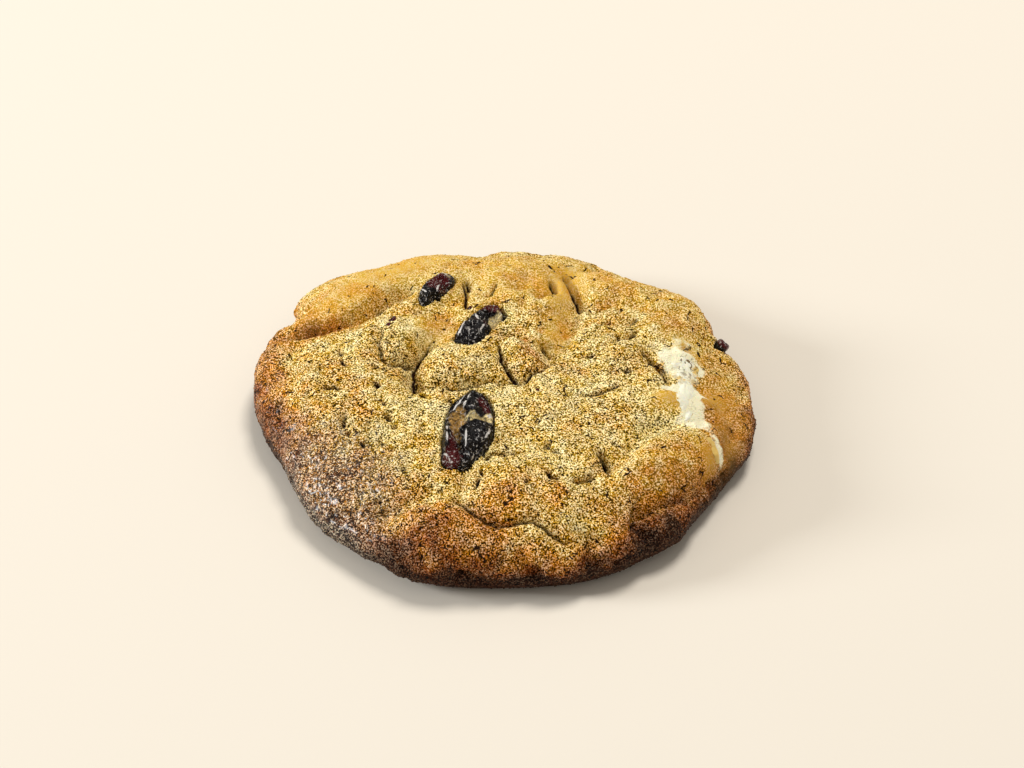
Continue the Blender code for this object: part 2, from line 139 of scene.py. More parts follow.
# Folds and cracks: half width, depth, how much the left side stands up on the way along, then the way
FOLDS = (
    (1, 2.2, 1, ((-36, 12.8), (-31, 11.2), (-27, 11.2), (-20.7, 13.5), (-15.2, 19.6), (-13.1, 20.8))),
    (1.6, 0.8, 0, ((-31.7, 9.4), (-33.5, 4.3), (-33, -0.4))),
    (0.7, 1.1, 0.6, ((-18.2, 9.5), (-18.5, 5.5), (-18.2, 2.7), (-16.7, 1.5), (-15.2, 2.4), (-12.5, 4.2))),
    (1.3, 3.2, 0, ((-10.5, 7.5), (-12, 4.7), (-13.4, 2), (-13.1, -3), (-13.3, -5))),
    (0.8, 1.6, -0.1, ((-13.3, -5), (-9.5, -3.1), (-6.8, -4.2), (-2, -3.1), (3.3, -3.5))),
    (0.5, 1, 0, ((-0.4, 5.5), (0.2, 2.4), (1.1, -0.6), (3.3, -3.5))),
    (0.6, 1.1, -0.1, ((3.3, -3.5), (4.7, -2.3), (6.8, -0.3), (8.1, 1.3))),
    (1.2, 1.2, 0, ((8.1, 1.3), (8.3, 3.8), (7.2, 7))),
    (0.6, 1, 0, ((-0.5, 8.3), (3.7, 8), (5.2, 8.6))),
    (0.5, 1.1, 0, ((-6.3, 23.5), (-5.5, 19.7), (-5.4, 15.6))),
    (0.6, 1, 0, ((-2.5, 18.7), (-1.5, 19.4), (-0.4, 21.9))),
    (0.7, 1.5, 0, ((8.4, 24.4), (9.3, 21.1), (8.6, 19.9), (6.6, 18.3))),
    (0.9, 2, 0, ((10.8, 26.8), (12.8, 22.3), (13.1, 18.9), (14.4, 16.6))),
    (0.7, 1.2, 0, ((13.5, 28.5), (16.8, 29.1), (20.1, 31.8))),
    (1.8, 2, 0.5, ((12.9, 18.5), (12.1, 14.6), (11.6, 11), (10.3, 7.1), (8.2, 4.7))),
    (0.5, 0.9, 0, ((18.9, 8.7), (19.1, 6.8), (20.5, 7.2), (22.4, 9.5))),
    (0.6, 1.1, 0, ((22.5, 5.2), (23.9, 1.6), (25.6, -0.3))),
    (1.4, 1.2, 1, ((28.5, -11.3), (23.1, -13.4), (20.9, -16.3), (19.2, -18.9), (16.5, -22.8))),
    (1, 0.8, 0, ((30.4, 0), (32, -2.8), (35.7, -5.3))),
    (0.5, 1, -0.2, ((-2.6, -22.2), (-0.8, -21.3), (1.5, -21), (4.4, -20.6))),
    (0.9, 1, 0.6, ((-3.6, -23.2), (-5.2, -25), (-5.9, -29.1), (-7, -31))),
    (0.5, 0.75, 0.4, ((-8.2, -28.3), (-3.2, -33), (0, -34.6), (5.3, -33.5), (9.5, -35.6), (12, -36))),
    (0.5, 1, 0, ((11, -25.6), (14.1, -24.3))),
    (0.5, 1, 0, ((15.4, -19.1), (16.4, -20.6), (16, -22.6))),
    (1.3, 1.1, -0.4, ((-21, -31.9), (-16.9, -31.5), (-12, -29.4), (-9.1, -28.7))),
    (1.1, 1, 0.6, ((20.5, -30.5), (28, -26.6), (31.9, -24.8), (34.5, -22))),
    (1, 1.4, 0, ((20.6, -28), (21, -30.5), (23.2, -34.5))),
    (0.8, 1, 0, ((13.5, -35.3), (13.9, -37.5), (14.5, -40))),
    (1.2, 1.2, 0, ((2.5, -38.2), (4, -39.5), (6.8, -41.8))),
    (0.6, 0.7, 0, ((14.3, -38.7), (19.4, -37))),
    (1.2, 1.6, 0, ((-7, -41.6), (-5.3, -42.2), (-4.2, -43.6))),
    (1.2, 1.2, 0, ((33.9, -21.7), (36.2, -19.5), (39, -17))),
    (0.8, 0.8, 0, ((-16.5, -33), (-15.5, -36), (-14, -39.5))),
)
SHOULDER = 0.3  # a fold's wide valley, as a share of its depth
SHOULDER_WIDTH = 3.0
LIP_REACH = 4.0
RUN_OUT = 0.16  # the share of a fold's length over which each end dies away
END_DEPTH = 0.35  # what is left of its depth at each end
SLIT_WIDTH = 0.3  # the open slit at the bottom of each fold
SLIT_DEPTH = 0.6
SLIT_FROM = 0.9  # a fold this many times as deep as wide starts to have a slit
SLIT_FULL = 2.0  # and from here it has the whole slit

# Hairline cracks and single pits, too fine for the solids: half width, depth, way
HAIRLINES = (
    (0.28, 0.8, ((12.6, -6.9), (15.3, -6.3), (18.2, -4.7))),
    (0.28, 0.7, ((19, -1), (21, -0.6))),
    (0.30, 0.9, ((16.6, 10.5), (17.8, 11.4))),
    (0.28, 0.7, ((23.1, 4.1), (23.9, 1.9), (24.9, -0.4), (26.1, -3.5))),
    (0.30, 0.6, ((21.4, 11.2), (22.9, 13.3))),
    (0.28, 0.6, ((13.2, 2.8), (15.2, 3.1))),
    (0.30, 0.8, ((0.6, 8.2), (3.8, 8.1))),
    (0.45, 1.2, ((7, 6.4), (8, 4.4))),
    (0.50, 1.1, ((14.2, 16.9), (14.6, 16.1))),
    (0.55, 1.6, ((7.4, -18.6), (7.7, -18.9))),
    (0.30, 0.9, ((8.3, -19.5), (9.1, -20.2))),
    (0.35, 1, ((15.2, -19.1), (16.4, -20.3), (16.1, -22.2), (16.4, -23.1))),
    (0.35, 1.1, ((10.9, -25.7), (12.6, -25), (14.2, -24.2))),
    (0.28, 0.8, ((7.6, -24.3), (7.8, -25.4), (9.3, -25.7))),
    (0.30, 0.7, ((4.3, -26.9), (4.5, -27.3))),
    (0.28, 0.8, ((-27.4, -5.2), (-26, -4.8), (-25, -5.5))),
    (0.28, 0.5, ((-19.6, -0.7), (-18.8, 0))),
    (0.28, 0.6, ((-24.1, 2.2), (-23.8, 0.1))),
    (0.30, 0.7, ((-19.2, -3.9), (-19, -5.6))),
    (0.32, 0.8, ((-18.4, -8.9), (-17.8, -9.5))),
    (0.36, 0.8, ((-12.1, -6.3), (-11.8, -7.6))),
    (0.28, 0.8, ((-8.3, -7.3), (-7, -9.5))),
    (0.28, 0.5, ((-24.9, 5.2), (-24.2, 3.1))),
    (0.45, 1.2, ((-17.9, -11.9), (-17.2, -13.1))),
    (0.50, 1.3, ((-16.6, -14.3), (-16.4, -14.7))),
    (0.32, 0.7, ((-12.3, -14), (-12.1, -14.4))),
    (0.30, 0.6, ((-24.2, -11.5), (-24.8, -14))),
    (0.45, 1, ((-24.1, -14.9), (-23.9, -15.5))),
    (0.35, 0.8, ((-21.8, -17.4), (-21.3, -18.5))),
    (0.45, 0.9, ((-18.5, -18), (-18.3, -18.5))),
    (0.40, 0.7, ((-15.4, -23.5), (-15, -23.9))),
    (0.45, 0.8, ((-19.2, -29), (-18.8, -29.4))),
    (0.28, 0.9, ((-3.4, -28.3), (-2.9, -26.7))),
    (0.28, 0.7, ((-2.6, -25.4), (-2.4, -26.4))),
    (0.35, 0.9, ((-36.8, -5.1), (-35.3, -4.6))),
    (0.45, 1, ((21.6, -30.9), (21, -32.1))),
    (0.28, 0.7, ((-5.6, 23.8), (-4.8, 20.6))),
)

# Short crags all round the side wall
CRAG_SEED = 11
CRAG_COUNT = 22
CRAG_ALONG = (36.0, 43.0)
CRAG_LENGTH = (3.0, 7.5)
CRAG_WIDTH = 1.0
CRAG_DEPTH = (0.5, 1.0)
CRAG_SPREAD = 0.35  # how far a crag strays from its even place, as a share of the spacing
CRAG_LEAN = 100.0
CRAG_BEND = 0.3

# Small pits strewn over the crust
PIT_SEED = 5
PIT_COUNT = 420
PIT_RADIUS = (0.3, 0.55)
PIT_DEPTH = (0.25, 0.6)
PIT_STRETCH = (1.0, 2.4)  # half length and half width of a pit, as shares of its radius
PIT_SQUEEZE = (0.8, 1.0)

# Unevenness of the whole crust: size of a bump and its height
BUMPS = ((9.0, 0.55), (3.8, 0.28))
FINE_BUMPS = ((2.6, 0.2), (1.5, 0.13), (0.85, 0.11))
TORN_MIDDLE = (1.0, 13.5)  # here the dough broke open as it baked, and is lumpier
TORN_HALF = (20.0, 14.0)
LUMPY_MIDDLE = (7.0, 16.0)  # small lumps show further out than the large ones
LUMPY_HALF = (30.0, 17.0)
TORN_BUMPS = (4.2, 0.8)
TORN_FINE = ((3.1, 1.15), (1.5, 0.42))
TORN_RIDGES = 0.4  # share of the height by which its small lumps stand up, while the rest is hollow
LEATHER_MIDDLE = (-27.0, -24.0)  # here the crust dried to a wrinkled, slightly shiny skin, which also gets a painted sheen
LEATHER_HALF = (14.0, 10.0)
LEATHER_TURN = -50.0
ZONE_EDGE = 4.0  # power with which these three zones fall away at their edges
LEATHER_BUMPS = (1.5, 0.42)
WALL_START = 36.0  # the side wall begins this far along the crust
WALL_WIDTH = 8.0
WALL_BUMPS = (2.0, 0.22)
SKIN_RIDGES = 0.35  # the same share for the leathery skin and the wall
FRESH_SMOOTHING = 0.8  # share of the fine relief that fresh dough lacks
WALL_GLOSS = 0.12  # the side wall is a little greasy
GLOSSY_RIM = (-38.0, -4.0, 15.0, 5.0, 95.0, 0.3)  # and the left rim more so: a spot, given as the spots of browning and shade are
WANDER = (2.6, 0.5)  # size and reach of the wander that makes each fold crooked
JAGS = (0.9, 0.28)  # size and reach of the jags of each crack
DEEPEST = -4.2
HIGHEST = 3.0

# Browning of the crust, with painted shade under the flap, under the rolled lobe and in hollows: middle (u,
# v), half length, half width, turn in degrees, amount
BASE_BROWNING = 0.23
RIM_BROWNING = 0.3
FOOT_BROWNING_AND_SHADE = 0.86  # a darker foot: browning where the dough met the hot tray, and painted shade low on the side wall
FOOT_HEIGHT = 4.0
RAISED_BROWNING = 0.14  # for each mm that a place stands up
HOLLOW_SHADE = 0.42  # where the dough is lumpy, painted shade makes the hollows darker
COARSE_BROWNING = 0.05  # for each mm that the coarse relief stands over this level
COARSE_LEVEL = 0.4
UNDERSIDE_BROWNING = 0.72
MELT_IN_CRACKS = 0.5  # share of a crack's painted shade that white chocolate hides
BROWNING_AND_SHADE_SPOTS = (
    (-26, -5, 12, 10, 0, 0.06),
    (-37, -2, 14, 5, 90, 0.38),
    (-29, -22, 16, 8, -50, 0.4),
    (-28.5, 14, 8, 5, 25, 0.26),
    # painted shade under the back left flap
    (-29, 11.2, 5, 1.6, 0, 0.3),
    (3, -29, 12, 6, 0, 0.14),
    (3, -40.5, 22, 5, 0, 0.2),
    (26.5, -22, 10, 5, 28, 0.17),
    (35, -6, 12, 6, 95, 0.5),
    (-9, -35.5, 12, 6, 8, 0.38),
    (5.6, 2.6, 2.8, 2.6, 0, 0.2),
    (0.6, 0.6, 2, 2.4, 0, 0.12),
    (-5, 0, 4.5, 3, 0, 0.04),
    (10, 17, 20, 11, 0, 0.14),
    # painted shade under the rolled lobe, on the lower right
    (25, -31, 12, 5, 36, 0.46),
    (21, -31, 5, 3, 0, 0.24),
    (38, -15, 6, 3.5, 110, 0.08),
    (29.6, 6.1, 3, 2.6, 0, -0.24),
    # painted shade in the dimple of the ring lump
    (29.6, 5.8, 0.8, 0.6, 0, 0.8),
    (-14, 7.5, 4, 3.5, 0, -0.3),
    (24, -13.6, 7, 2.2, 22, -0.24),
    (36.8, 3, 5, 3, 95, -0.08),
    (0, 30, 14, 6, 0, 0.05),
    # painted shade in hollows and folds: beside the upper berries, in the deep cleft, in the smooth valley
    # and along the fold under the flap
    (-9.5, 11.5, 3.2, 4, 0, 0.28),
    (-12.8, 2.6, 1.6, 4.6, 0, 0.34),
    (3.5, 7.2, 4, 1.4, 0, 0.28),
    (10.8, 11, 6.5, 1.4, 71, 0.24),
    (-26, 11.6, 9, 1.2, 5, 0.14),
)
FRESH_SPOTS = (  # smooth, moist dough that opened late and shows no grain
    (10.3, 19.5, 6, 2, 85, 0.65),
    (12.2, 26, 4, 2, 70, 0.5),
    (9.5, 9, 5, 2.2, 72, 0.6),
    (-17, 26, 11, 3.5, 38, 0.6),
    (32.2, -17.6, 3.2, 1.4, -60, 0.9),
    (26, -6.8, 2.8, 1.7, 0, 1),
    (32.4, -4.2, 2.9, 2.2, 0, 1),
    (29.6, 6.1, 2.5, 2.3, 0, 0.8),
    (5, 25, 27, 9, 0, 0.5),
    (26, -21, 9, 5, 28, 0.22),
    (28, 14, 8, 6, 90, 0.2),
    (36, -13, 5, 3, -70, 0.5),
    (-10, 9, 4, 4, 0, 0.5),
    (-25, 15.5, 8, 4, 28, 0.45),
    (36, -3, 8, 3.5, 95, 0.4),
)
SMALL_SWELLS = (  # too small for the solids, given as the swells are: a ring with its dimple, and lumps
    (29.6, 6.1, 2.2, 2.2, 0, 0.8),
    (29.6, 6, 0.9, 0.8, 0, -1.3),
    (26, -6.8, 2.4, 1.5, 0, 0.6),
    (32.3, -4.4, 2.6, 2, 0, 0.6),
    (33.6, -13.2, 3.4, 1.4, -60, 0.5),
)
CREAM_SPOTS = (  # white chocolate that ran out into the dough, given as the spots of browning and shade are
    (28.4, 2.2, 3.6, 3.4, 70, 1),
    (26.8, 3.6, 1.6, 1.2, 0, 1.2),
    (31, 2.6, 1.2, 1, 0, 1),
    (29.6, 7.6, 3, 1.8, 0, 0.36),
    (28.5, -4, 3.4, 0.9, 10, 1.6),
    (29.4, -7, 4.4, 1.7, -84, 1.5),
    (29.4, -10.6, 3, 1.3, 0, 0.6),
    (22.6, -11.5, 5, 2, 12, 0.24),
    (34, -15.4, 3.8, 0.9, -55, 0.8),
)

# Grid of the fine crust, and the rings that close its flat base
CELLS = 288
BASE_RINGS = (0.985, 0.95, 0.86, 0.7, 0.5, 0.25)  # shares of the way from the middle
CRUMB_ROOM = 0.15  # room for the crumb grains that stand out from the crust

# Fruit and chocolate: middle (u, v), turn in degrees, half length, half width, half height, how far the
# middle stands above the crust, and corners of the outline (angle, half width, share of the radius)
INLAYS = {
    "cranberry_front": ((-5, -15.4), 82, 8.9, 4.1, 2.7, -1.3, (
        (3, 9, 0.09), (39, 12, 0.06), (103, 20, -0.07), (161, 11, 0.17), (-157, 10, -0.06),
        (-110, 30, 0.07))),
    "cranberry_middle": ((-3.3, 10.2), 60, 6.3, 2.5, 2.2, -0.8, (
        (-148, 14, 0.3), (-32, 11, 0.3), (-90, 30, -0.2), (-174, 9, -0.1))),
    "cranberry_back": ((-10.3, 20.1), 61, 4.3, 1.9, 1.9, -0.8, (
        (-173, 12, 0.18), (-155, 10, -0.18), (-28, 20, 0.1), (51, 20, 0.1))),
    "cranberry_edge": ((37.4, 12.9), 71, 1.8, 1.1, 1.1, 0.3, ()),
    "white_chocolate_right": ((28.7, -2), 84, 9.5, 2.6, 1.6, -1, (
        (37, 18, 0.2), (-24, 18, 0.15), (-112, 16, -0.1), (-150, 18, -0.26),
        (180, 10, 0.13))),
    "white_chocolate_small": ((33.4, -15.8), -50, 3.3, 1.15, 1.3, -0.9, ((90, 50, 0.22),)),
}
FRUIT = ("cranberry_front", "cranberry_middle", "cranberry_back", "cranberry_edge")
CHOCOLATE = ("white_chocolate_right", "white_chocolate_small")
SEAT_GAP = 0.12  # room round and under each berry
RIM_SNAP = 0.18  # crust points this near a seat's rim are moved onto it, so that the rim is one clean line
RIM_SIDE = 0.1  # or rather inside or outside it by this share of that way
INLAY_ROOM = 0.6  # a berry's top is bent under the top of the frame's box from this far below it
ROUNDING = 0.75  # power that gives an inlay's lower half fuller sides than an ellipsoid's
TOP_ROUNDING = 0.42  # its upper half is fuller still, so that it meets the dough around it
ZONE_RISE = 0.5  # its relief and colours are in full from this share of its half height up
LUMP_SIDES = 160
LUMP_RINGS = 70
SMALL_LUMP_SIDES = 80
SMALL_LUMP_RINGS = 36
SMALL_LENGTH = 4.0  # an inlay with a smaller half length has fewer points

# Relief of each berry's upper side, in its own frame: x, y, half length, half width, turn in degrees, height
FRUIT_EDGE = 4.0  # power with which these fall away at their edges
FRUIT_RELIEF = {
    "cranberry_front": (
        (5.8, 0.4, 3.2, 3.6, 0, 0.5),  # cap at the tip
        (5.5, 0.7, 3, 0.45, -14, 0.45),  # its ridge
        (5.2, -1.9, 2.2, 1, 20, -0.5),  # its sunken right face
        (5, 2.4, 1.8, 0.8, -25, -0.5),
        (1.3, 1.7, 2.1, 1.5, 0, -1.1),  # torn hollow
        (1.9, -1.3, 0.7, 2.4, -8, -0.9),  # cleft under the cap
        (-4, 0.7, 3.4, 0.8, 20, -1.1),
        (-3.6, -2.3, 5.2, 2.1, -14, 0.6),  # dark right lobe
        (-3.6, -0.5, 3.2, 0.3, 8, 0.4),  # its shiny left edge
        (-2.5, 3.1, 4.8, 0.5, 11, 0.6),  # ridge along the left edge
        (-8, 1.3, 1.8, 1.4, 0, 0.45),
    ),
    "cranberry_middle": (
        (-2.2, 0.4, 3.4, 1.8, 0, 0.5),
        (2.4, -0.9, 1.5, 1.1, 20, -1.2),
        (4.8, 0.2, 1.2, 2, 20, 0.4),
        (-1.6, 0.3, 2.4, 0.4, 10, -0.5),
    ),
    "cranberry_back": (
        (-1.4, 0.2, 2.2, 1.3, 0, 0.4),
        (1, 0, 1, 1.5, 0, -0.4),
        (2.4, 0.6, 1.4, 1.2, 0, 0.3),
    ),
    "cranberry_edge": ((0.3, 0, 0.8, 0.7, 0, -0.2),),
}
WRINKLES = ((2.0, 0.72), (1.05, 0.544), (0.55, 0.32))  # size and depth of the skin's wrinkles
WRINKLE_RIDGES = 0.3  # share of the depth by which the skin between them stands up
WRINKLED_HEIGHT = 2.2  # a berry with a smaller half height has shallower wrinkles
WRINKLE_STRETCH = 0.7

# Colour zones of the skin: x, y, half length, half width, turn in degrees, amount
RED_ZONES = {
    "cranberry_front": (
        (-7.6, 1.3, 2.6, 2, 0, 0.9), (-3.6, 1.8, 2.6, 0.8, 12, 0.7), (5.2, -2, 2.6, 1.2, 20, 0.8),
    ),
    "cranberry_middle": ((4.9, 0.2, 1.7, 2.4, 20, 1.1), (0.4, -0.4, 1.2, 1.6, 0, 0.7)),
    "cranberry_back": ((0.6, 0, 2.8, 1.8, 0, 1), (3, 1.2, 1.4, 1.2, 0, 1.1)),
    "cranberry_edge": ((0, 0, 3, 3, 0, 1.2),),
}
FLESH_ZONES = {
    "cranberry_front": ((1.2, 1.7, 2.2, 1.5, 0, 1.5), (-3.4, 0.9, 2.4, 0.7, 20, 0.6)),
    "cranberry_middle": (),
    "cranberry_back": (),
    "cranberry_edge": (),
}
PALE_ZONES = {
    "cranberry_front": ((1.9, -1, 0.75, 2.3, -8, 1.5), (2.9, -3.1, 0.7, 0.7, 0, 1.3)),
    "cranberry_middle": ((2.4, -1.6, 1.9, 1.1, 20, 1.5),),
    "cranberry_back": ((3.4, 0.2, 0.9, 1.3, 0, 0.7),),
    "cranberry_edge": (),
}
GLINT_ZONES = {  # ridges where highlights are painted as pale glints
    "cranberry_front": (
        (5.4, 0.8, 2.6, 0.26, -12, 0.75), (4.6, 2.5, 2.4, 0.24, -24, 0.75), (-3.4, -0.3, 3.2, 0.2, 8, 0.75),
        (-1.4, 3.1, 4.2, 0.2, 11, 0.65), (2.9, -3.1, 0.5, 0.5, 0, 0.9), (-5.5, -2.6, 3, 0.2, -30, 0.45),
        (-1.6, -3.6, 2.6, 0.24, -14, 0.55), (-7.4, 2, 1.6, 0.26, 40, 0.6),
    ),
    "cranberry_middle": (
        (-2.4, 1.5, 3, 0.18, 16, 0.7), (-4.8, -0.2, 1.8, 0.18, 60, 0.6), (-1.6, -1.3, 2.6, 0.18, 8, 0.65),
        (0.8, 0.8, 1.6, 0.3, 50, 0.8), (-2.6, 0.2, 2.2, 0.22, 30, 0.65), (5.4, 0.8, 1.4, 0.24, -60, 0.6),
    ),
    "cranberry_back": (
        (-2.8, 0.6, 1.2, 0.18, 60, 0.7), (-1, -1, 1.6, 0.18, 10, 0.5), (3.2, 0.4, 0.8, 0.9, 0, 0.45),
    ),
    "cranberry_edge": ((-0.6, 0.3, 0.8, 0.2, 40, 0.7),),
}

# White chocolate, with zones given as those of the berries
MELT_BUMPS = ((2.4, 0.45), (1.2, 0.25), (0.7, 0.14))  # size and height
MELT_EDGE = 0.82  # it starts to turn golden at this share of the way out
MELT_TOP = 0.3  # height of its middle over the crust
MELT_FALL = 0.6  # and how far it falls on the way to its rim
MELT_SIDES = 2.2  # how steeply its sides rise
MELT_FINE = 0.6  # share of the fine relief of the crust that shows in it
WHITE_ZONES = {
    "white_chocolate_right": (
        (-2.4, 0, 3.2, 1.1, -76, 1.4), (-6.2, -0.8, 5, 2, 4, 1.4), (3.6, 0.6, 3.6, 2.8, 0, 0.95),
    ),
    "white_chocolate_small": ((0.6, 0.9, 3.4, 0.7, -6, 1.2),),
}
PITTED_ZONES = {
    "white_chocolate_right": ((5, 0, 4.6, 4, 0, 1),),
    "white_chocolate_small": (),
}

# Small bits of fruit in the crust: place (u, v), half length, half width, turn in degrees
FRUIT_BITS = (
    (-16.6, 10.8, 0.75, 0.45, 60),
    (-17.1, 9.6, 0.5, 0.3, 20),
    (-4.7, 15.3, 0.65, 0.5, 30),
    (5.9, -6.3, 0.3, 0.22, 0),
)
BIT_SIDES = 20
BIT_RINGS = 10
BIT_BUMPS = (0.9, 0.5)  # size, as a share of the bit, and height
BIT_RISE = 0.1  # its middle stands this far over the crust
BIT_HEIGHT = 0.8  # half height, as a share of the half width
BIT_RED = 0.7

# Noises of the materials: size of a feature in mm, detail, roughness and distortion
GRAIN = (0.24, 0.0)  # drawn coarser than the real crumb, or it wouldn't show
PORE = (0.6, 1.0, 0.5, 1.4)
MOTTLE = (5.0, 1.0)
PATCH = (2.2, 1.0)
GLOW = (2.6, 1.5, 0.5, 0.6)
FLECK = (1.5, 3.0, 0.7)
SKIN_MOTTLE = (1.4, 3.0)
SKIN_WRINKLE = (0.7, 2.0, 0.5, 1.2)
FLESH_GRAIN = (0.42, 2.0, 0.6)
MELT_MOTTLE = (1.3, 4.0, 0.7)
MELT_SPECK = (0.8, 2.0, 0.5, 0.6)
FLOOR_GRAIN = (2.0, 2.0)

# Crooked lines of the materials: size of a cell and width of a line in mm, share of the lines that is missing
CRACKLE = (1.0, 0.15, 0.56)
SEAMS = (0.95, 0.27, 0.42)
SLITS = (2.3, 0.22, 0.66)
GLINT_STREAKS = (0.85, 0.11, 0.57)
BEND_SIZE = 0.36  # size and reach of a line's bends, as shares of the cell
BEND_REACH = 0.3
LINE_EDGE = (1.4, 0.6)  # a line fades in between these shares of its half width
BREAK_SIZE = 0.56  # size of the patches without lines, as a share of the cell
BREAK_EDGE = 0.05

# Look of the crust. A range has the two ends of what is read, and then what these become, if not 0 and 1.
TONES = (0.0, 0.27, 0.55, 0.82, 1.0)  # browning at which it has each colour, from pale to darkest
MOTTLE_TONE = 0.64  # how far mottle and patches change the browning
PATCH_TONE = 0.36
PORE_TO_HOLE = (0.4, 0.36, 0.0, 0.6)
MOTTLE_TO_CRACKLE = (0.4, 0.62, 0.4, 1.0)
CREAM_TO_BARE = (0.3, 0.9, 1.0, 0.15)  # chocolate that ran in hides holes and slits
GRAIN_TO_LEVEL = (0.32, 0.68)
LEVEL_TO_LIGHT = (0.0, 1.0, 0.02, 2.08)
LEVEL_TO_DEPTH = (0.0, 1.0, 1.28, 0.68)  # pale grains have less depth of colour
GLOW_TO_DEPTH = (0.3, 0.7, 0.87, 1.15)  # and soft patches differ a little in depth and hue
GLOW_TO_HUE = (0.3, 0.7, 0.506, 0.495)
LEVEL_TO_HIGHLIT_TIP = (0.62, 0.95, 0.0, 0.6)
TONE_TO_UNBURNT = (0.26, 0.58, 1.0, 0.1)  # browned and shaded dough has hardly any highlit tips
FRESH_TINT = 0.62
LEVEL_TO_PAINTED_SHEEN = (0.45, 0.75, 0.0, 0.8)
SEAM_SHADE_TINT = 0.75
FLECK_STRETCH = (2.2, -0.2)  # factor and offset
FLECK_TO_CREAM = (0.3, 0.52)
SHARE_TO_CRACK_SHADE = (0.16, 0.66)
HOLE_BUMP = -0.35  # how far holes and slits are sunk, next to the grain
SLIT_BUMP = -0.5
FRESH_TO_BUMP = (0.0, 1.0, 0.42, 0.15)
GLOSSY_ROUGHNESS = 0.36
GLOSSY_COAT = 0.6

# Look of the fruit and of the white chocolate, with ranges as those of the crust
SKIN_WANDER = 1.6  # how far mottle moves the edges of colour zones
ZONE_WANDER = 0.7
MELT_WANDER = 2.0
SHARE_TO_ZONE = (0.4, 0.65)
GRAIN_TO_FLESH = (0.32, 0.68, 0.4, 1.7)  # torn flesh and smeared dough are grainy, and this rough
FLESH_ROUGHNESS = 0.75
SHARE_TO_GLINT = (0.42, 0.56)
STREAK_TINT = 0.55
SHARE_TO_WHITE = (0.3, 0.7)
SPECK_TO_PIT = (0.46, 0.4)

# Crumb grains: least and greatest size as shares of the radius, least and greatest turn in radians
CRUMB_SIZES = ((0.4, 0.4, 0.3), (1.0, 1.0, 0.8))
CRUMB_TURNS = ((0.0, 0.0, 0.0), (0.5, 0.5, 6.28))
CRUMB_FOOT = 0.6  # none lie nearer to the base than this
CRUMB_CLEARANCE = 1.05  # or nearer to a berry, as a share of the way out to its rim
FEWER_ON_FRESH = 0.85  # share of the grains that fresh dough and cracks lack
FEWER_IN_CRACKS = 0.6
PALER_GRAINS = 0.12  # they are this much less browned than the crust

# Stage: camera, floor and lights, in mm and degrees
CAMERA_PLACE = (1.4, -318.2, 276.5)
CAMERA_ELEVATION = 40.0
CAMERA_LENS = 92.3
FAR_CLIP = 20.0  # in metres, past the far edge of the floor
FLOOR_HALF = 4000.0
LIGHT_TARGET = (0.0, 0.0, 5.0)  # both lights aim here
WINDOW = ((-1050.0, -20.0, 400.0), 340.0, (0.93, 0.97, 1.0))  # low at the left: place, size, colour
CEILING = ((250.0, 450.0, 1150.0), 460.0, (1.0, 0.97, 0.92))  # high up behind the cookie, the same
ROOM_COLOUR = (1.0, 0.965, 0.9, 1.0)


def linear(code):
    """The linear colour of an sRGB hex value."""
    found = []
    for start in (1, 3, 5):
        value = int(code[start:start + 2], 16) / 255.0
        found.append(value / 12.92 if value <= 0.04045 else ((value + 0.055) / 1.055) ** 2.4)
    return tuple(found)


def colour_property(name, description, code):
    return FloatVectorProperty(
        name=name, description=description, default=linear(code), size=3, min=0.0, max=1.0, subtype="COLOR"
    )


class CrustSettings(PropertyGroup):
    """Sizes and colours of the baked dough."""

    roughness: FloatProperty(
        name="Roughness", description="Roughness of the matt crust", default=0.62, min=0.0, max=1.0
    )
    pale: colour_property("Pale", "Crust that hardly browned", "#f6dc90")
    golden: colour_property("Golden", "Most of the crust", "#e3b75a")
    browned: colour_property("Browned", "Raised and thin places", "#d08912")
    # Dark and darkest also carry the painted shade at the foot and in the hollows.
    dark: colour_property("Dark", "The rim and the foot", "#8c4a03")
    darkest: colour_property("Darkest", "Scorched specks at the foot", "#3c1701")
    # Pale grain tips: paler crumb with a painted highlight on top.
    highlit_tip: colour_property("Tip", "Pale tips of the grains", "#fff1b6")
    # Painted sheen: pale colour on the wrinkled skin at the lower left, standing in for the light's
    # reflection.
    painted_sheen: colour_property("Bloom", "Dry, frosted skin at the lower left", "#f3dfc0")
    # Painted shade in cracks, slits and the seams of the wrinkled skin.
    crack_shade: colour_property("Crack", "Depth of the cracks", "#240e01")
    melt: colour_property("Melt", "White chocolate that ran out into the dough", "#fff7d2")
    fresh: colour_property("Fresh", "Moist dough that opened late", "#cfa243")


class FruitSettings(PropertyGroup):
    """Sizes and colours of the cranberries."""

    roughness: FloatProperty(
        name="Roughness", description="Roughness of the skin", default=0.16, min=0.0, max=1.0
    )
    skin: colour_property("Skin", "Dark skin", "#080203")
    red: colour_property("Red", "Thin skin with the red showing through", "#521012")
    flesh: colour_property("Flesh", "Brown flesh where a berry tore open", "#a27b3e")
    pale: colour_property("Pale", "Dough smeared on the fruit", "#dcc68c")
    # Painted glints: pale colour along the skin's ridges, standing in for highlights.
    painted_glint: colour_property("Sugar", "Sugar dried on the ridges of the skin", "#ece5de")


class ChocolateSettings(PropertyGroup):
    """Colours of the white chocolate."""

    roughness: FloatProperty(
        name="Roughness", description="Roughness of the set chocolate", default=0.42, min=0.0, max=1.0
    )
    cream: colour_property("Cream", "Melted and set white chocolate", "#fffbe0")
    toasted: colour_property("Toasted", "Chocolate that caramelised at its edge", "#e6c064")
    speck: colour_property("Speck", "Brown specks of dough in the chocolate", "#6f5527")


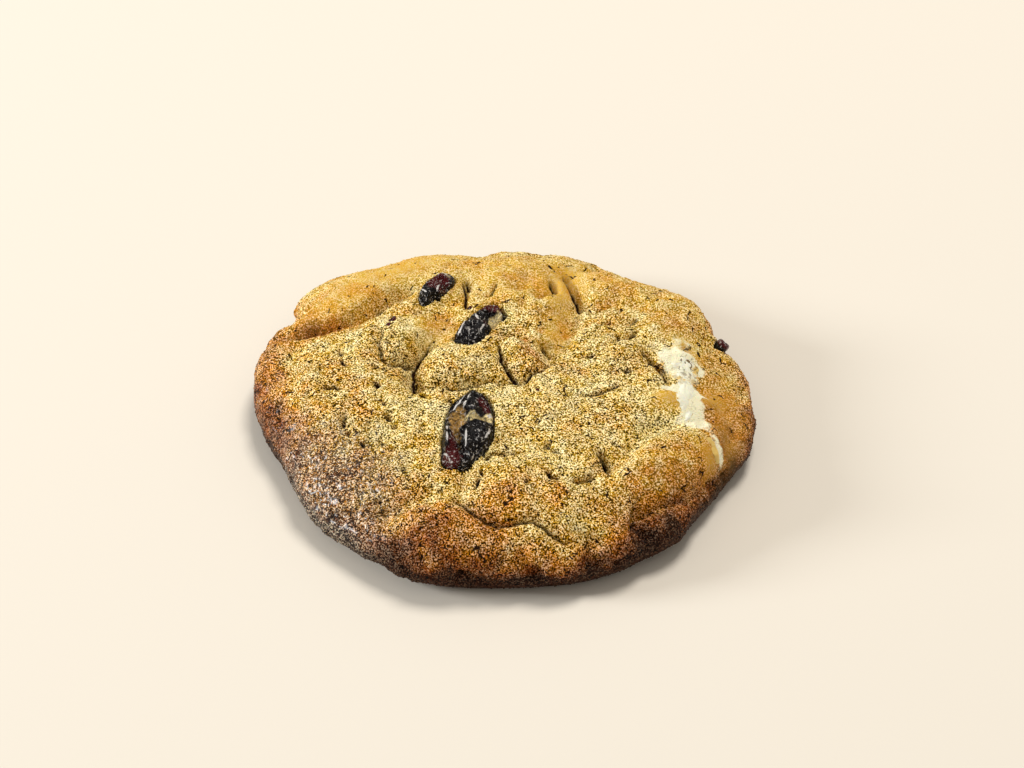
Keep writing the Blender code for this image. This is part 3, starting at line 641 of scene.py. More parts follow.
class CrumbSettings(PropertyGroup):
    """Sizes and number of the crumb grains."""

    radius: FloatProperty(
        name="Radius", description="Radius of the largest grain",
        default=0.2 * MM, min=0.0, subtype="DISTANCE", unit="LENGTH",
    )
    density: FloatProperty(
        name="Density", description="Grains on each square metre of crust", default=1.15e6, min=0.0
    )
    seed: IntProperty(name="Seed", description="Seed of the random draws", default=7, min=0)


class StageSettings(PropertyGroup):
    """Floor colour and light."""

    floor: colour_property("Floor", "Colour of the floor", "#ede4d6")
    window: FloatProperty(
        name="Window", description="Power of the low window light",
        default=9.5, min=0.0, subtype="POWER", unit="POWER",
    )
    ceiling: FloatProperty(
        name="Ceiling", description="Power of the soft light above and behind",
        default=9.4, min=0.0, subtype="POWER", unit="POWER",
    )
    ambient: FloatProperty(
        name="Ambient", description="Strength of the light from all round", default=0.38, min=0.0
    )


def swell(gap, width):
    return np.exp(-((gap / width) ** 2))


def ease(share):
    """A smooth rise from 0 to 1 as the share goes from 0 to 1."""
    share = np.clip(share, 0.0, 1.0)
    return share * share * (3.0 - 2.0 * share)


def turned(angle, centre):
    """The way from one angle to another in degrees, between -180 and 180."""
    return (angle - centre + 180.0) % 360.0 - 180.0


def oval_radius(angle, half_length, half_width):
    angle = np.radians(angle)
    return half_length * half_width / np.hypot(half_width * np.cos(angle), half_length * np.sin(angle))


def rim_radius(angle, share):
    """Distance from the middle at a share of the way out: an oval, which gains the rim's lobes on the way."""
    lobes = sum(out * swell(turned(angle, at), width) for at, width, out in RIM_LOBES)
    return share * (oval_radius(angle - LONG_AXIS, HALF_LENGTH, HALF_WIDTH) + lobes * share**LOBE_REACH)


def section():
    """The dough's section, from the top to the base: way along the crust, share of the radius, height."""
    rise = 0.5 * np.pi * np.linspace(0.0, 1.0, SECTION_STEPS) ** 2
    share = np.sin(rise) ** (2.0 / TOP_POWER)
    height = BULGE_HEIGHT + (THICKNESS - BULGE_HEIGHT) * np.cos(rise)
    down = np.linspace(0.0, 1.0, TUCK_STEPS)[1:]
    share = np.append(share, 1.0 - BASE_TUCK / MEAN_RADIUS * down**2)
    height = np.append(height, BULGE_HEIGHT * (1.0 - down))
    steps = np.hypot(np.diff(share) * MEAN_RADIUS, np.diff(height))
    return np.append(0.0, np.cumsum(steps)), share, height


ALONG, SHARE, HEIGHT = section()
CRUST_REACH = ALONG[-1]


def smooth_crust(u, v):
    """Points of the crust before its relief."""
    along = np.hypot(u, v)
    angle = np.degrees(np.arctan2(v, u))
    radius = rim_radius(angle, np.interp(along, ALONG, SHARE))
    height = np.interp(along, ALONG, HEIGHT)
    return np.stack([radius * np.cos(np.radians(angle)), radius * np.sin(np.radians(angle)), height], -1)


def crust_normal(u, v, step=0.25):
    across = smooth_crust(u + step, v) - smooth_crust(u - step, v)
    back = smooth_crust(u, v + step) - smooth_crust(u, v - step)
    normal = np.cross(across, back)
    return normal / np.maximum(np.linalg.norm(normal, axis=-1, keepdims=True), 1e-9)


def bumps(points, size, seed):
    """Smooth noise between -1 and 1 at each point, with bumps of this size."""
    shift = Vector((seed * 17.3, seed * 5.1, seed * 9.7))
    flat = points.reshape(-1, 3)
    found = [noise.noise(Vector(point) / size + shift) for point in flat.tolist()]
    return np.array(found).reshape(points.shape[:-1])


def ridges(points, size, seed, level):
    """Noise folded at zero, so that it runs in sharp ridges that stand up to this level."""
    return level - np.abs(bumps(points, size, seed))


def spot(x, y, at_x, at_y, half_length, half_width, turn, amount, edge=2.0):
    """A soft-edged oval spot of this amount at its middle."""
    turn = np.radians(turn)
    along = ((x - at_x) * np.cos(turn) + (y - at_y) * np.sin(turn)) / half_length
    across = ((y - at_y) * np.cos(turn) - (x - at_x) * np.sin(turn)) / half_width
    return amount * np.exp(-(np.hypot(along, across) ** edge))


def spots(x, y, rows, edge=2.0):
    return sum((spot(x, y, *row, edge=edge) for row in rows), np.zeros(np.shape(x)))


def kept_below(heights, limit, room):
    """Heights bent smoothly under a limit, from this far below it."""
    start = limit - room
    return np.where(heights > start, limit - room * np.exp(-np.maximum(heights - start, 0.0) / room), heights)


def fold_frame(u, v, way):
    """Distance to a fold, which side of it a place is on, and the share of the fold's length there."""
    way = np.array(way)
    lengths = np.linalg.norm(np.diff(way, axis=0), axis=1)
    done = np.append(0.0, np.cumsum(lengths))
    nearest = np.full(u.shape, 1e9)
    side = np.zeros(u.shape)
    share = np.zeros(u.shape)
    for start, end, before, length in zip(way[:-1], way[1:], done, lengths):
        run = (end - start) / length
        at = np.clip((u - start[0]) * run[0] + (v - start[1]) * run[1], 0.0, length)
        gap_u = u - start[0] - at * run[0]
        gap_v = v - start[1] - at * run[1]
        gap = np.hypot(gap_u, gap_v)
        closer = gap < nearest
        nearest = np.where(closer, gap, nearest)
        side = np.where(closer, np.sign(run[0] * gap_v - run[1] * gap_u), side)
        share = np.where(closer, (before + at) / done[-1], share)
    return nearest, side, share


def fold_relief(u, v, width, depth, lift, way):
    """Relief of one fold without its slit, and how much of a slit each place lies in, from 0 to 1."""
    gap, side, share = fold_frame(u, v, way)
    strength = END_DEPTH + (1.0 - END_DEPTH) * ease(np.minimum(share, 1.0 - share) / RUN_OUT)
    cut = swell(gap, width) + SHOULDER * swell(gap, SHOULDER_WIDTH * width)
    raised = (side * np.sign(lift) > 0) * abs(lift) * np.exp(-gap / LIP_REACH) * (1.0 - swell(gap, width))
    steep = ease((depth / width - SLIT_FROM) / (SLIT_FULL - SLIT_FROM))
    slit = strength * swell(gap, min(width, SLIT_WIDTH)) * steep
    return strength * (raised - depth * cut), slit


def wall_crags():
    """Short folds at seeded places all round the side wall."""
    draw = random.Random(CRAG_SEED)
    crags = []
    for index in range(CRAG_COUNT):
        angle = np.radians((index + draw.uniform(-CRAG_SPREAD, CRAG_SPREAD)) * 360.0 / CRAG_COUNT)
        along = draw.uniform(*CRAG_ALONG)
        lean = angle + np.radians(draw.uniform(-CRAG_LEAN, CRAG_LEAN))
        half = 0.5 * draw.uniform(*CRAG_LENGTH)
        middle = np.array([along * np.cos(angle), along * np.sin(angle)])
        run = half * np.array([np.cos(lean), np.sin(lean)])
        bend = CRAG_BEND * half * np.array([-np.sin(lean), np.cos(lean)])
        way = (middle - run, middle + bend, middle + run)
        crags.append((CRAG_WIDTH, draw.uniform(*CRAG_DEPTH), 0.0, way))
    return crags


def main_relief(u, v):
    """The relief that the solids have too, and how much of a slit each place lies in."""
    points = smooth_crust(u, v)
    size, reach = WANDER
    jag, jag_reach = JAGS
    u_bent = u + reach * bumps(points, size, 1) + jag_reach * bumps(points, jag, 27)
    v_bent = v + reach * bumps(points, size, 2) + jag_reach * bumps(points, jag, 28)
    out = sum(height * bumps(points, bump, 3 + index) for index, (bump, height) in enumerate(BUMPS))
    torn_size, torn_height = TORN_BUMPS
    out = out + torn_height * torn_share(u, v) * bumps(points, torn_size, 9)
    for row in SWELLS:
        out = out + spot(u, v, *row, edge=SWELL_EDGE)
    cracked = np.zeros(u.shape)
    hairlines = tuple((width, depth, 0.0, way) for width, depth, way in HAIRLINES)
    for fold in FOLDS + tuple(wall_crags()) + hairlines:
        relief, slit = fold_relief(u_bent, v_bent, *fold)
        out = out + relief
        cracked = np.maximum(cracked, slit)
    out = np.clip(out, DEEPEST, HIGHEST) - SLIT_DEPTH * cracked
    return out * above_base(u, v), cracked


def above_base(u, v):
    """A share that falls from 1 to 0 near the base, where the relief dies away."""
    return ease((CRUST_REACH - np.hypot(u, v)) / BASE_FADE)


def wall_share(u, v):
    """How far out over the side wall a place is, from 0 to 1."""
    return ease((np.hypot(u, v) - WALL_START) / WALL_WIDTH)


def torn_share(u, v):
    return spot(u, v, *TORN_MIDDLE, *TORN_HALF, 0.0, 1.0, edge=ZONE_EDGE)


def lumpy_share(u, v):
    return spot(u, v, *LUMPY_MIDDLE, *LUMPY_HALF, 0.0, 1.0, edge=ZONE_EDGE)


def leather_share(u, v):
    return spot(u, v, *LEATHER_MIDDLE, *LEATHER_HALF, LEATHER_TURN, 1.0, edge=ZONE_EDGE)


def fresh_share(u, v):
    return np.clip(spots(u, v, FRESH_SPOTS), 0.0, 1.0)


def pits(u, v):
    """Depth of the small pits strewn over the crust."""
    draw = random.Random(PIT_SEED)
    depth = np.zeros(u.shape)
    for _ in range(PIT_COUNT):
        along = CRUST_REACH * draw.random() ** 0.5
        angle = draw.uniform(0.0, 2.0 * np.pi)
        radius = draw.uniform(*PIT_RADIUS)
        half_length = radius * draw.uniform(*PIT_STRETCH)
        half_width = radius * draw.uniform(*PIT_SQUEEZE)
        turn = draw.uniform(0.0, 180.0)
        place = (along * np.cos(angle), along * np.sin(angle))
        pit = spot(u, v, *place, half_length, half_width, turn, draw.uniform(*PIT_DEPTH))
        depth = np.maximum(depth, pit)
    return depth


def fine_relief(u, v):
    """Crumb, wrinkles and pits finer than the solids' relief."""
    points = smooth_crust(u, v)
    out = sum(height * bumps(points, size, 21 + index) for index, (size, height) in enumerate(FINE_BUMPS))
    for index, (size, height) in enumerate(TORN_FINE):
        out = out + height * lumpy_share(u, v) * ridges(points, size, 31 + index, TORN_RIDGES)
    for share, (size, height), seed in ((leather_share, LEATHER_BUMPS, 25), (wall_share, WALL_BUMPS, 26)):
        out = out + height * share(u, v) * ridges(points, size, seed, SKIN_RIDGES)
    out = (out - pits(u, v)) * (1.0 - FRESH_SMOOTHING * fresh_share(u, v))
    return (out + spots(u, v, SMALL_SWELLS, SWELL_EDGE)) * above_base(u, v)


def seat_place(u, v, name):
    """Share of the way out to an inlay's rim, and the rim's distance, seen from the inlay's middle."""
    middle, turn, half_length, half_width = INLAYS[name][:4]
    corners = INLAYS[name][6]
    turn = np.radians(turn)
    x = (u - middle[0]) * np.cos(turn) + (v - middle[1]) * np.sin(turn)
    y = (v - middle[1]) * np.cos(turn) - (u - middle[0]) * np.sin(turn)
    around = np.degrees(np.arctan2(y, x))
    rim = outline(around, half_length, half_width, corners) + SEAT_GAP
    return np.hypot(x, y) / rim, rim


def outline(around, half_length, half_width, corners):
    """Distance of an inlay's rim from its middle."""
    share = 1.0 + sum(out * swell(turned(around, at), width) for at, width, out in corners)
    return oval_radius(around, half_length, half_width) * share


def snapped(u, v):
    """The crust's grid with the points near each berry's rim moved onto it, just inside or just outside."""
    for name in FRUIT:
        middle = INLAYS[name][0]
        share, rim = seat_place(u, v, name)
        gap = (share - 1.0) * rim
        target = np.where(gap < 0.0, -RIM_SIDE, RIM_SIDE) * RIM_SNAP
        scale = np.where(np.abs(gap) < RIM_SNAP, (rim + target) / np.maximum(share * rim, 1e-6), 1.0)
        u = middle[0] + (u - middle[0]) * scale
        v = middle[1] + (v - middle[1]) * scale
    return u, v


def ground(u, v):
    """Main relief of the crust at one place."""
    return main_relief(np.array([u]), np.array([v]))[0][0]


def with_seats(u, v, out):
    """The relief with a hollow under each berry, a little wider than the berry."""
    for name in FRUIT:
        half_height, stands = INLAYS[name][4:6]
        share = seat_place(u, v, name)[0]
        bowl = (half_height + SEAT_GAP) * np.sqrt(1.0 - np.minimum(share, 1.0) ** (2.0 / ROUNDING))
        floor = ground(*INLAYS[name][0]) + stands - bowl
        out = np.where(share < 1.0, np.minimum(out, floor), out)
    return out


def disc_grid(count, reach):
    """A square grid of count by count cells pressed into a disc, so that its cells stay nearly square."""
    line = np.linspace(-1.0, 1.0, count + 1)
    a, b = np.meshgrid(line, line)
    outer = np.maximum(np.abs(a), np.abs(b))
    safe_a = np.where(a == 0.0, 1.0, a)
    safe_b = np.where(b == 0.0, 1.0, b)
    angle = np.where(
        np.abs(a) >= np.abs(b),
        0.25 * np.pi * b / safe_a + np.where(a < 0.0, np.pi, 0.0),
        0.5 * np.pi - 0.25 * np.pi * a / safe_b + np.where(b < 0.0, np.pi, 0.0),
    )
    angle = np.where(outer == 0.0, 0.0, angle)
    return reach * outer * np.cos(angle), reach * outer * np.sin(angle)


@functools.lru_cache(maxsize=None)
def fine_crust():
    """Places, points and colour shares of the whole crust, before it is fitted to the frame."""
    u, v = snapped(*disc_grid(CELLS, CRUST_REACH))
    coarse, cracked = main_relief(u, v)
    fine = fine_relief(u, v)
    out = with_seats(u, v, coarse + fine)
    points = smooth_crust(u, v) + crust_normal(u, v) * out[..., None]
    points[..., 2] = np.maximum(points[..., 2], 0.0)
    points[0, :, 2] = points[-1, :, 2] = points[:, 0, 2] = points[:, -1, 2] = 0.0
    browned = BASE_BROWNING + spots(u, v, BROWNING_AND_SHADE_SPOTS) + RIM_BROWNING * wall_share(u, v)
    browned = browned + FOOT_BROWNING_AND_SHADE * swell(points[..., 2], FOOT_HEIGHT) * (np.hypot(u, v) > WALL_START)
    browned = browned + (RAISED_BROWNING - HOLLOW_SHADE * lumpy_share(u, v)) * fine
    browned = browned + COARSE_BROWNING * (coarse - COARSE_LEVEL)
    creamy = np.clip(spots(u, v, CREAM_SPOTS), 0.0, 1.0)
    shares = {
        "browned": browned,
        "cracked": cracked * (1.0 - MELT_IN_CRACKS * creamy),
        "creamy": creamy,
        "fresh": fresh_share(u, v),
        "leathery": leather_share(u, v),
        "glossy": np.maximum(leather_share(u, v), WALL_GLOSS * wall_share(u, v)) + spot(u, v, *GLOSSY_RIM),
    }
    return u, v, points, shares


def fitted(points):
    """Points moved and scaled so that the fine crust, with its crumbs, fills the dough's box, in metres."""
    crust = fine_crust()[2].reshape(-1, 3)
    low, high = (np.array(corner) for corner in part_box("dough"))
    low = low + np.array([CRUMB_ROOM, CRUMB_ROOM, 0.0]) * MM
    high = high - CRUMB_ROOM * MM
    scale = (high - low) / (crust.max(0) - crust.min(0))
    return low + (points - crust.min(0)) * scale


def new_object(name, points, faces, material, shares=()):
    """A smooth-shaded mesh object from points in metres, with a point attribute for each share."""
    mesh = bpy.data.meshes.new(name)
    mesh.from_pydata(points.tolist(), [], faces)
    for share, values in dict(shares).items():
        attribute = mesh.attributes.new(share, "FLOAT", "POINT")
        attribute.data.foreach_set("value", np.asarray(values, np.float32).ravel())
    mesh.shade_smooth()
    mesh.materials.append(material)
    item = bpy.data.objects.new(name, mesh)
    bpy.context.scene.collection.objects.link(item)
    return item


def grid_faces(side):
    start = np.arange((side - 1) * side).reshape(side - 1, side)[:, :-1].ravel()
    return np.stack([start, start + 1, start + side + 1, start + side], -1).tolist()


def halved_rings(loop, points):
    """Closes a flat loop of points with rings of half as many points each, and a fan at the middle."""
    points = list(points)
    middle = np.mean([points[index] for index in loop], axis=0)
    faces = []
    for share in BASE_RINGS:
        inner = []
        for index in loop[::2]:
            inner.append(len(points))
            points.append(middle + (points[index] - middle) * share)
        count = len(inner)
        for index in range(count):
            after = (index + 1) % count
            first, second, third = loop[2 * index], loop[2 * index + 1], loop[(2 * index + 2) % len(loop)]
            faces.append([inner[index], second, first])
            faces.append([inner[index], inner[after], second])
            faces.append([inner[after], third, second])
        loop = inner
    faces += [[len(points), loop[(index + 1) % len(loop)], loop[index]] for index in range(len(loop))]
    points.append(middle)
    return np.array(points), faces


def with_poles(rows, low, high):
    """Values on the rings of a lump, with those of its lowest and its highest point."""
    return np.concatenate([[low], rows.ravel(), [high]])


def lump(name):
    """A closed lump for an inlay in its own frame: x, y, z of its points, and its faces."""
    half_length, half_width, half_height = INLAYS[name][2:5]
    corners = INLAYS[name][6]
    small = half_length < SMALL_LENGTH
    sides, rings = (SMALL_LUMP_SIDES, SMALL_LUMP_RINGS) if small else (LUMP_SIDES, LUMP_RINGS)
    around = np.linspace(0.0, 360.0, sides, endpoint=False)
    up = np.radians(np.linspace(-90.0, 90.0, rings + 1)[1:-1])
    share = np.cos(up)[:, None] ** np.where(up < 0.0, ROUNDING, TOP_ROUNDING)[:, None]
    rim = outline(around, half_length, half_width, corners)
    x = with_poles(share * rim * np.cos(np.radians(around)), 0.0, 0.0)
    y = with_poles(share * rim * np.sin(np.radians(around)), 0.0, 0.0)
    z = with_poles(np.repeat(half_height * np.sin(up), sides), -half_height, half_height)
    return x, y, z, lump_faces(sides, rings)


def lump_faces(sides, rings):
    faces = [[0, 1 + (side + 1) % sides, 1 + side] for side in range(sides)]
    for ring in range(rings - 2):
        low = 1 + ring * sides
        for side in range(sides):
            after = (side + 1) % sides
            faces.append([low + side, low + after, low + sides + after, low + sides + side])
    last = 1 + (rings - 2) * sides
    faces += [[last + side, last + (side + 1) % sides, last + sides] for side in range(sides)]
    return faces


def crust_place(middle, turn, x, y):
    """Where a point of a piece's own frame lies on the crust, from the frame's middle and its turn."""
    turn = np.radians(turn)
    u = middle[0] + x * np.cos(turn) - y * np.sin(turn)
    v = middle[1] + x * np.sin(turn) + y * np.cos(turn)
    return u, v


def raised(u, v, height):
    return smooth_crust(u, v) + crust_normal(u, v) * height[:, None]


def fill(tree, node, inputs):
    """Sets each input of a node to a value, or links it to another node's output."""
    for key, value in inputs.items():
        if isinstance(value, bpy.types.NodeSocket):
            tree.links.new(value, node.inputs[key])
        else:
            node.inputs[key].default_value = value


def add_node(tree, kind, inputs=None, output=0, **settings):
    """Adds a node with its settings, inputs and links, and gives one of its outputs, if it has any."""
    node = tree.nodes.new(kind)
    for key, value in settings.items():
        setattr(node, key, value)
    fill(tree, node, inputs or {})
    return node.outputs[output] if node.outputs else node


def new_material(name):
    """A material, a function that adds nodes to it, its Object coordinates, its tree and its shader."""
    material = bpy.data.materials.new(name)
    material.use_nodes = True
    tree = material.node_tree
    add = functools.partial(add_node, tree)
    return material, add, add("ShaderNodeTexCoord", output="Object"), tree, tree.nodes["Principled BSDF"]


def per_mm(size):
    """Scale of a pattern on Object coordinates, which are metres, for features of this size in mm."""
    return 1.0 / (size * MM)


def patterned(place, size, detail, roughness=0.5, distortion=0.0):
    """Inputs of a noise with features of this size in mm."""
    inputs = {"Vector": place, "Scale": per_mm(size), "Detail": detail}
    return {**inputs, "Roughness": roughness, "Distortion": distortion}


def ranged(value, low, high, start=0.0, end=1.0):
    """Inputs of a map range that takes a value between low and high to one between start and end."""
    return {0: value, 1: low, 2: high, 3: start, 4: end}


def ramp_stops(node, stops):
    elements = node.color_ramp.elements
    while len(elements) < len(stops):
        elements.new(1.0)
    for element, (position, colour) in zip(elements, stops):
        element.position = position
        element.color = (*colour, 1.0)


def crooked_lines(add, place, cell, width, missing):
    """Crooked lines between uneven cells, both sizes in mm, with this share of them missing: 1 in a line."""
    bend = add("ShaderNodeTexNoise", patterned(place, BEND_SIZE * cell, 1.0), output="Color")
    bend = add("ShaderNodeVectorMath", {0: bend, "Scale": BEND_REACH * cell * MM}, operation="SCALE")
    bent = add("ShaderNodeVectorMath", {0: place, 1: bend}, operation="ADD")
    edge = add("ShaderNodeTexVoronoi", {"Vector": bent, "Scale": per_mm(cell)}, feature="DISTANCE_TO_EDGE")
    half = 0.5 * width / cell
    outer, inner = (share * half for share in LINE_EDGE)
    line = add("ShaderNodeMapRange", ranged(edge, outer, inner))
    broken = add("ShaderNodeTexNoise", patterned(place, BREAK_SIZE * cell, 0.0))
    broken = add("ShaderNodeMapRange", ranged(broken, missing, missing + BREAK_EDGE))
    return add("ShaderNodeMath", {0: line, 1: broken}, operation="MULTIPLY")


def baked_dough(settings):
    """Baked cookie dough: matt and crumbly, pale where it lay low and brown where it stood up to the heat,
    with painted shade in pits, cracks and hollows and painted highlights on its grains and wrinkled skin.
    """
    material, add, place, tree, shader = new_material("baked_dough_crust")
    browned, cracked, creamy, fresh, glossy, leathery = (
        add("ShaderNodeAttribute", output="Fac", attribute_name=key)
        for key in ("browned", "cracked", "creamy", "fresh", "glossy", "leathery")
    )
    grain, pore, mottle, patch, glow, fleck = (
        add("ShaderNodeTexNoise", patterned(place, *row)) for row in (GRAIN, PORE, MOTTLE, PATCH, GLOW, FLECK)
    )
    # Browning and painted shade, from the crust's own attribute, with soft patches
    tone = browned
    for soft, reach in ((mottle, MOTTLE_TONE), (patch, PATCH_TONE)):
        soft = add("ShaderNodeMath", {0: soft, 1: reach, 2: -0.5 * reach}, operation="MULTIPLY_ADD")
        tone = add("ShaderNodeMath", {0: tone, 1: soft}, operation="ADD")
    colour = add("ShaderNodeValToRGB", {0: tone})
    tints = (settings.pale, settings.golden, settings.browned, settings.dark, settings.darkest)
    ramp_stops(colour.node, tuple(zip(TONES, tints)))
    # Dark pores and crackle lie between the grains, as painted shade. One level, from dark to pale, carries
    # all of the grain.
    dry = add("ShaderNodeMath", {0: 1.0, 1: fresh}, operation="SUBTRACT")
    bare = add("ShaderNodeMapRange", ranged(creamy, *CREAM_TO_BARE))
    hole = add("ShaderNodeMapRange", ranged(pore, *PORE_TO_HOLE))
    crackled = add("ShaderNodeMapRange", ranged(mottle, *MOTTLE_TO_CRACKLE))
    crackle = crooked_lines(add, place, *CRACKLE)
    crackle = add("ShaderNodeMath", {0: crackle, 1: crackled}, operation="MULTIPLY")
    hole = add("ShaderNodeMath", {0: hole, 1: crackle}, operation="MAXIMUM")
    for share in (dry, bare):
        hole = add("ShaderNodeMath", {0: hole, 1: share}, operation="MULTIPLY")
    shade = add("ShaderNodeMath", {0: 1.0, 1: hole}, operation="SUBTRACT")
    level = add("ShaderNodeMapRange", ranged(grain, *GRAIN_TO_LEVEL))
    level = add("ShaderNodeMath", {0: level, 1: shade}, operation="MULTIPLY")
    lit = add("ShaderNodeMapRange", ranged(level, *LEVEL_TO_LIGHT))
    lit = add("ShaderNodeMix", {0: dry, 2: 1.0, 3: lit})
    depth = add("ShaderNodeMapRange", ranged(level, *LEVEL_TO_DEPTH))
    warmth = add("ShaderNodeMapRange", ranged(glow, *GLOW_TO_DEPTH))
    depth = add("ShaderNodeMath", {0: depth, 1: warmth}, operation="MULTIPLY")
    hue = add("ShaderNodeMapRange", ranged(glow, *GLOW_TO_HUE))
    colour = add("ShaderNodeHueSaturation", {"Hue": hue, "Saturation": depth, "Value": lit, "Color": colour})
    # Where each tint lies: painted highlights on the tips of grains, painted sheen on the wrinkled skin and
    # painted shade in its seams, melted flecks, painted shade in cracks
    unburnt = add("ShaderNodeMapRange", ranged(tone, *TONE_TO_UNBURNT))
    highlit_tip = add("ShaderNodeMapRange", ranged(level, *LEVEL_TO_HIGHLIT_TIP))
    painted_sheen = add("ShaderNodeMapRange", ranged(level, *LEVEL_TO_PAINTED_SHEEN))
    seam_shade = crooked_lines(add, place, *SEAMS)
    factor, offset = FLECK_STRETCH
    cream = add("ShaderNodeMath", {0: fleck, 1: factor, 2: offset}, operation="MULTIPLY_ADD")
    cream = add("ShaderNodeMath", {0: cream, 1: creamy}, operation="MULTIPLY")
    cream = add("ShaderNodeMapRange", ranged(cream, *FLECK_TO_CREAM))
    slit = crooked_lines(add, place, *SLITS)
    slit = add("ShaderNodeMath", {0: slit, 1: bare}, operation="MULTIPLY")
    crack_shade = add("ShaderNodeMapRange", ranged(cracked, *SHARE_TO_CRACK_SHADE))
    crack_shade = add("ShaderNodeMath", {0: crack_shade, 1: slit}, operation="MAXIMUM")
    for share, factors, tint in (
        (highlit_tip, (dry, unburnt), settings.highlit_tip),
        (fresh, (FRESH_TINT,), settings.fresh),
        (painted_sheen, (leathery,), settings.painted_sheen),
        (seam_shade, (leathery, SEAM_SHADE_TINT), settings.crack_shade),
        (cream, (shade,), settings.melt),
        (crack_shade, (), settings.crack_shade),
    ):
        for factor in factors:
            share = add("ShaderNodeMath", {0: share, 1: factor}, operation="MULTIPLY")
        colour = add("ShaderNodeMix", {0: share, 6: colour, 7: (*tint, 1.0)}, output=2, data_type="RGBA")
    height = add("ShaderNodeMath", {0: hole, 1: HOLE_BUMP, 2: grain}, operation="MULTIPLY_ADD")
    height = add("ShaderNodeMath", {0: slit, 1: SLIT_BUMP, 2: height}, operation="MULTIPLY_ADD")
    strength = add("ShaderNodeMapRange", ranged(fresh, *FRESH_TO_BUMP))
    rough = add("ShaderNodeMapRange", ranged(glossy, 0.0, 1.0, settings.roughness, GLOSSY_ROUGHNESS))
    fill(tree, shader, {
        "Base Color": colour,
        "Normal": add("ShaderNodeBump", {"Height": height, "Strength": strength, "Distance": 0.8 * MM}),
        "Roughness": rough,
        "Specular IOR Level": 0.06,
        "Subsurface Weight": 0.12,
        "Subsurface Radius": (1.0, 0.55, 0.2),
        "Subsurface Scale": 1.2 * MM,
        "Coat Weight": add("ShaderNodeMath", {0: glossy, 1: GLOSSY_COAT}, operation="MULTIPLY"),
        "Coat Roughness": 0.24,
    })
    return material


def dried_fruit(settings):
    """Dried cranberry: wrinkled, sticky skin, near black with red where it is thin, a soft wet gloss, and
    painted glints along its ridges.
    """
    material, add, place, tree, shader = new_material("dried_cranberry_skin")
    mottle, grain, wrinkle = (
        add("ShaderNodeTexNoise", patterned(place, *row)) for row in (SKIN_MOTTLE, FLESH_GRAIN, SKIN_WRINKLE)
    )
    offset = -0.5 * SKIN_WANDER
    wander = add("ShaderNodeMath", {0: mottle, 1: SKIN_WANDER, 2: offset}, operation="MULTIPLY_ADD")
    lit = add("ShaderNodeMapRange", ranged(grain, *GRAIN_TO_FLESH))
    colour = (*settings.skin, 1.0)
    dull = 0.0
    for key, tint, grainy in (
        ("red", settings.red, False), ("flesh", settings.flesh, True), ("pale", settings.pale, True),
    ):
        share = add("ShaderNodeAttribute", output="Fac", attribute_name=key)
        share = add("ShaderNodeMath", {0: wander, 1: ZONE_WANDER, 2: share}, operation="MULTIPLY_ADD")
        share = add("ShaderNodeMapRange", ranged(share, *SHARE_TO_ZONE))
        tint = add("ShaderNodeHueSaturation", {"Value": lit if grainy else 1.0, "Color": (*tint, 1.0)})
        colour = add("ShaderNodeMix", {0: share, 6: colour, 7: tint}, output=2, data_type="RGBA")
        if grainy:
            dull = add("ShaderNodeMath", {0: share, 1: dull}, operation="MAXIMUM")
    # Painted glints along the ridges and in crooked streaks, standing in for highlights.
    glint = add("ShaderNodeAttribute", output="Fac", attribute_name="glinting")
    glint = add("ShaderNodeMath", {0: wander, 1: glint}, operation="ADD")
    glint = add("ShaderNodeMapRange", ranged(glint, *SHARE_TO_GLINT))
    streak = crooked_lines(add, place, *GLINT_STREAKS)
    streak = add("ShaderNodeMath", {0: streak, 1: STREAK_TINT}, operation="MULTIPLY")
    glint = add("ShaderNodeMath", {0: glint, 1: streak}, operation="MAXIMUM")
    painted_glint = (*settings.painted_glint, 1.0)
    colour = add("ShaderNodeMix", {0: glint, 6: colour, 7: painted_glint}, output=2, data_type="RGBA")
    rough = add("ShaderNodeMapRange", ranged(dull, 0.0, 1.0, settings.roughness, FLESH_ROUGHNESS))
    fill(tree, shader, {
        "Base Color": colour,
        "Normal": add("ShaderNodeBump", {"Height": wrinkle, "Strength": 1.0, "Distance": 1.2 * MM}),
        "Roughness": rough,
        "Specular IOR Level": 0.28,
    })
    return material


def set_chocolate(settings):
    """White chocolate, melted into the crust and set: creamy with a faint gloss, toasted at its edges."""
    material, add, place, tree, shader = new_material("set_white_chocolate")
    mottle, speck = (add("ShaderNodeTexNoise", patterned(place, *row)) for row in (MELT_MOTTLE, MELT_SPECK))
    white, pitted = (
        add("ShaderNodeAttribute", output="Fac", attribute_name=key) for key in ("white", "pitted")
    )
    offset = -0.5 * MELT_WANDER
    wander = add("ShaderNodeMath", {0: mottle, 1: MELT_WANDER, 2: offset}, operation="MULTIPLY_ADD")
    share = add("ShaderNodeMath", {0: wander, 1: white}, operation="ADD")
    share = add("ShaderNodeMapRange", ranged(share, *SHARE_TO_WHITE))
    pit = add("ShaderNodeMapRange", ranged(speck, *SPECK_TO_PIT))
    pit = add("ShaderNodeMath", {0: pit, 1: pitted}, operation="MULTIPLY")
    colour = (*settings.toasted, 1.0)
    for share, tint in ((share, settings.cream), (pit, settings.speck)):
        colour = add("ShaderNodeMix", {0: share, 6: colour, 7: (*tint, 1.0)}, output=2, data_type="RGBA")
    height = add("ShaderNodeMath", {0: mottle, 1: speck}, operation="ADD")
    fill(tree, shader, {
        "Base Color": colour,
        "Normal": add("ShaderNodeBump", {"Height": height, "Strength": 0.6, "Distance": 0.3 * MM}),
        "Roughness": settings.roughness,
        "Subsurface Weight": 0.3,
        "Subsurface Radius": (1.0, 0.8, 0.5),
        "Subsurface Scale": 1.0 * MM,
    })
    return material


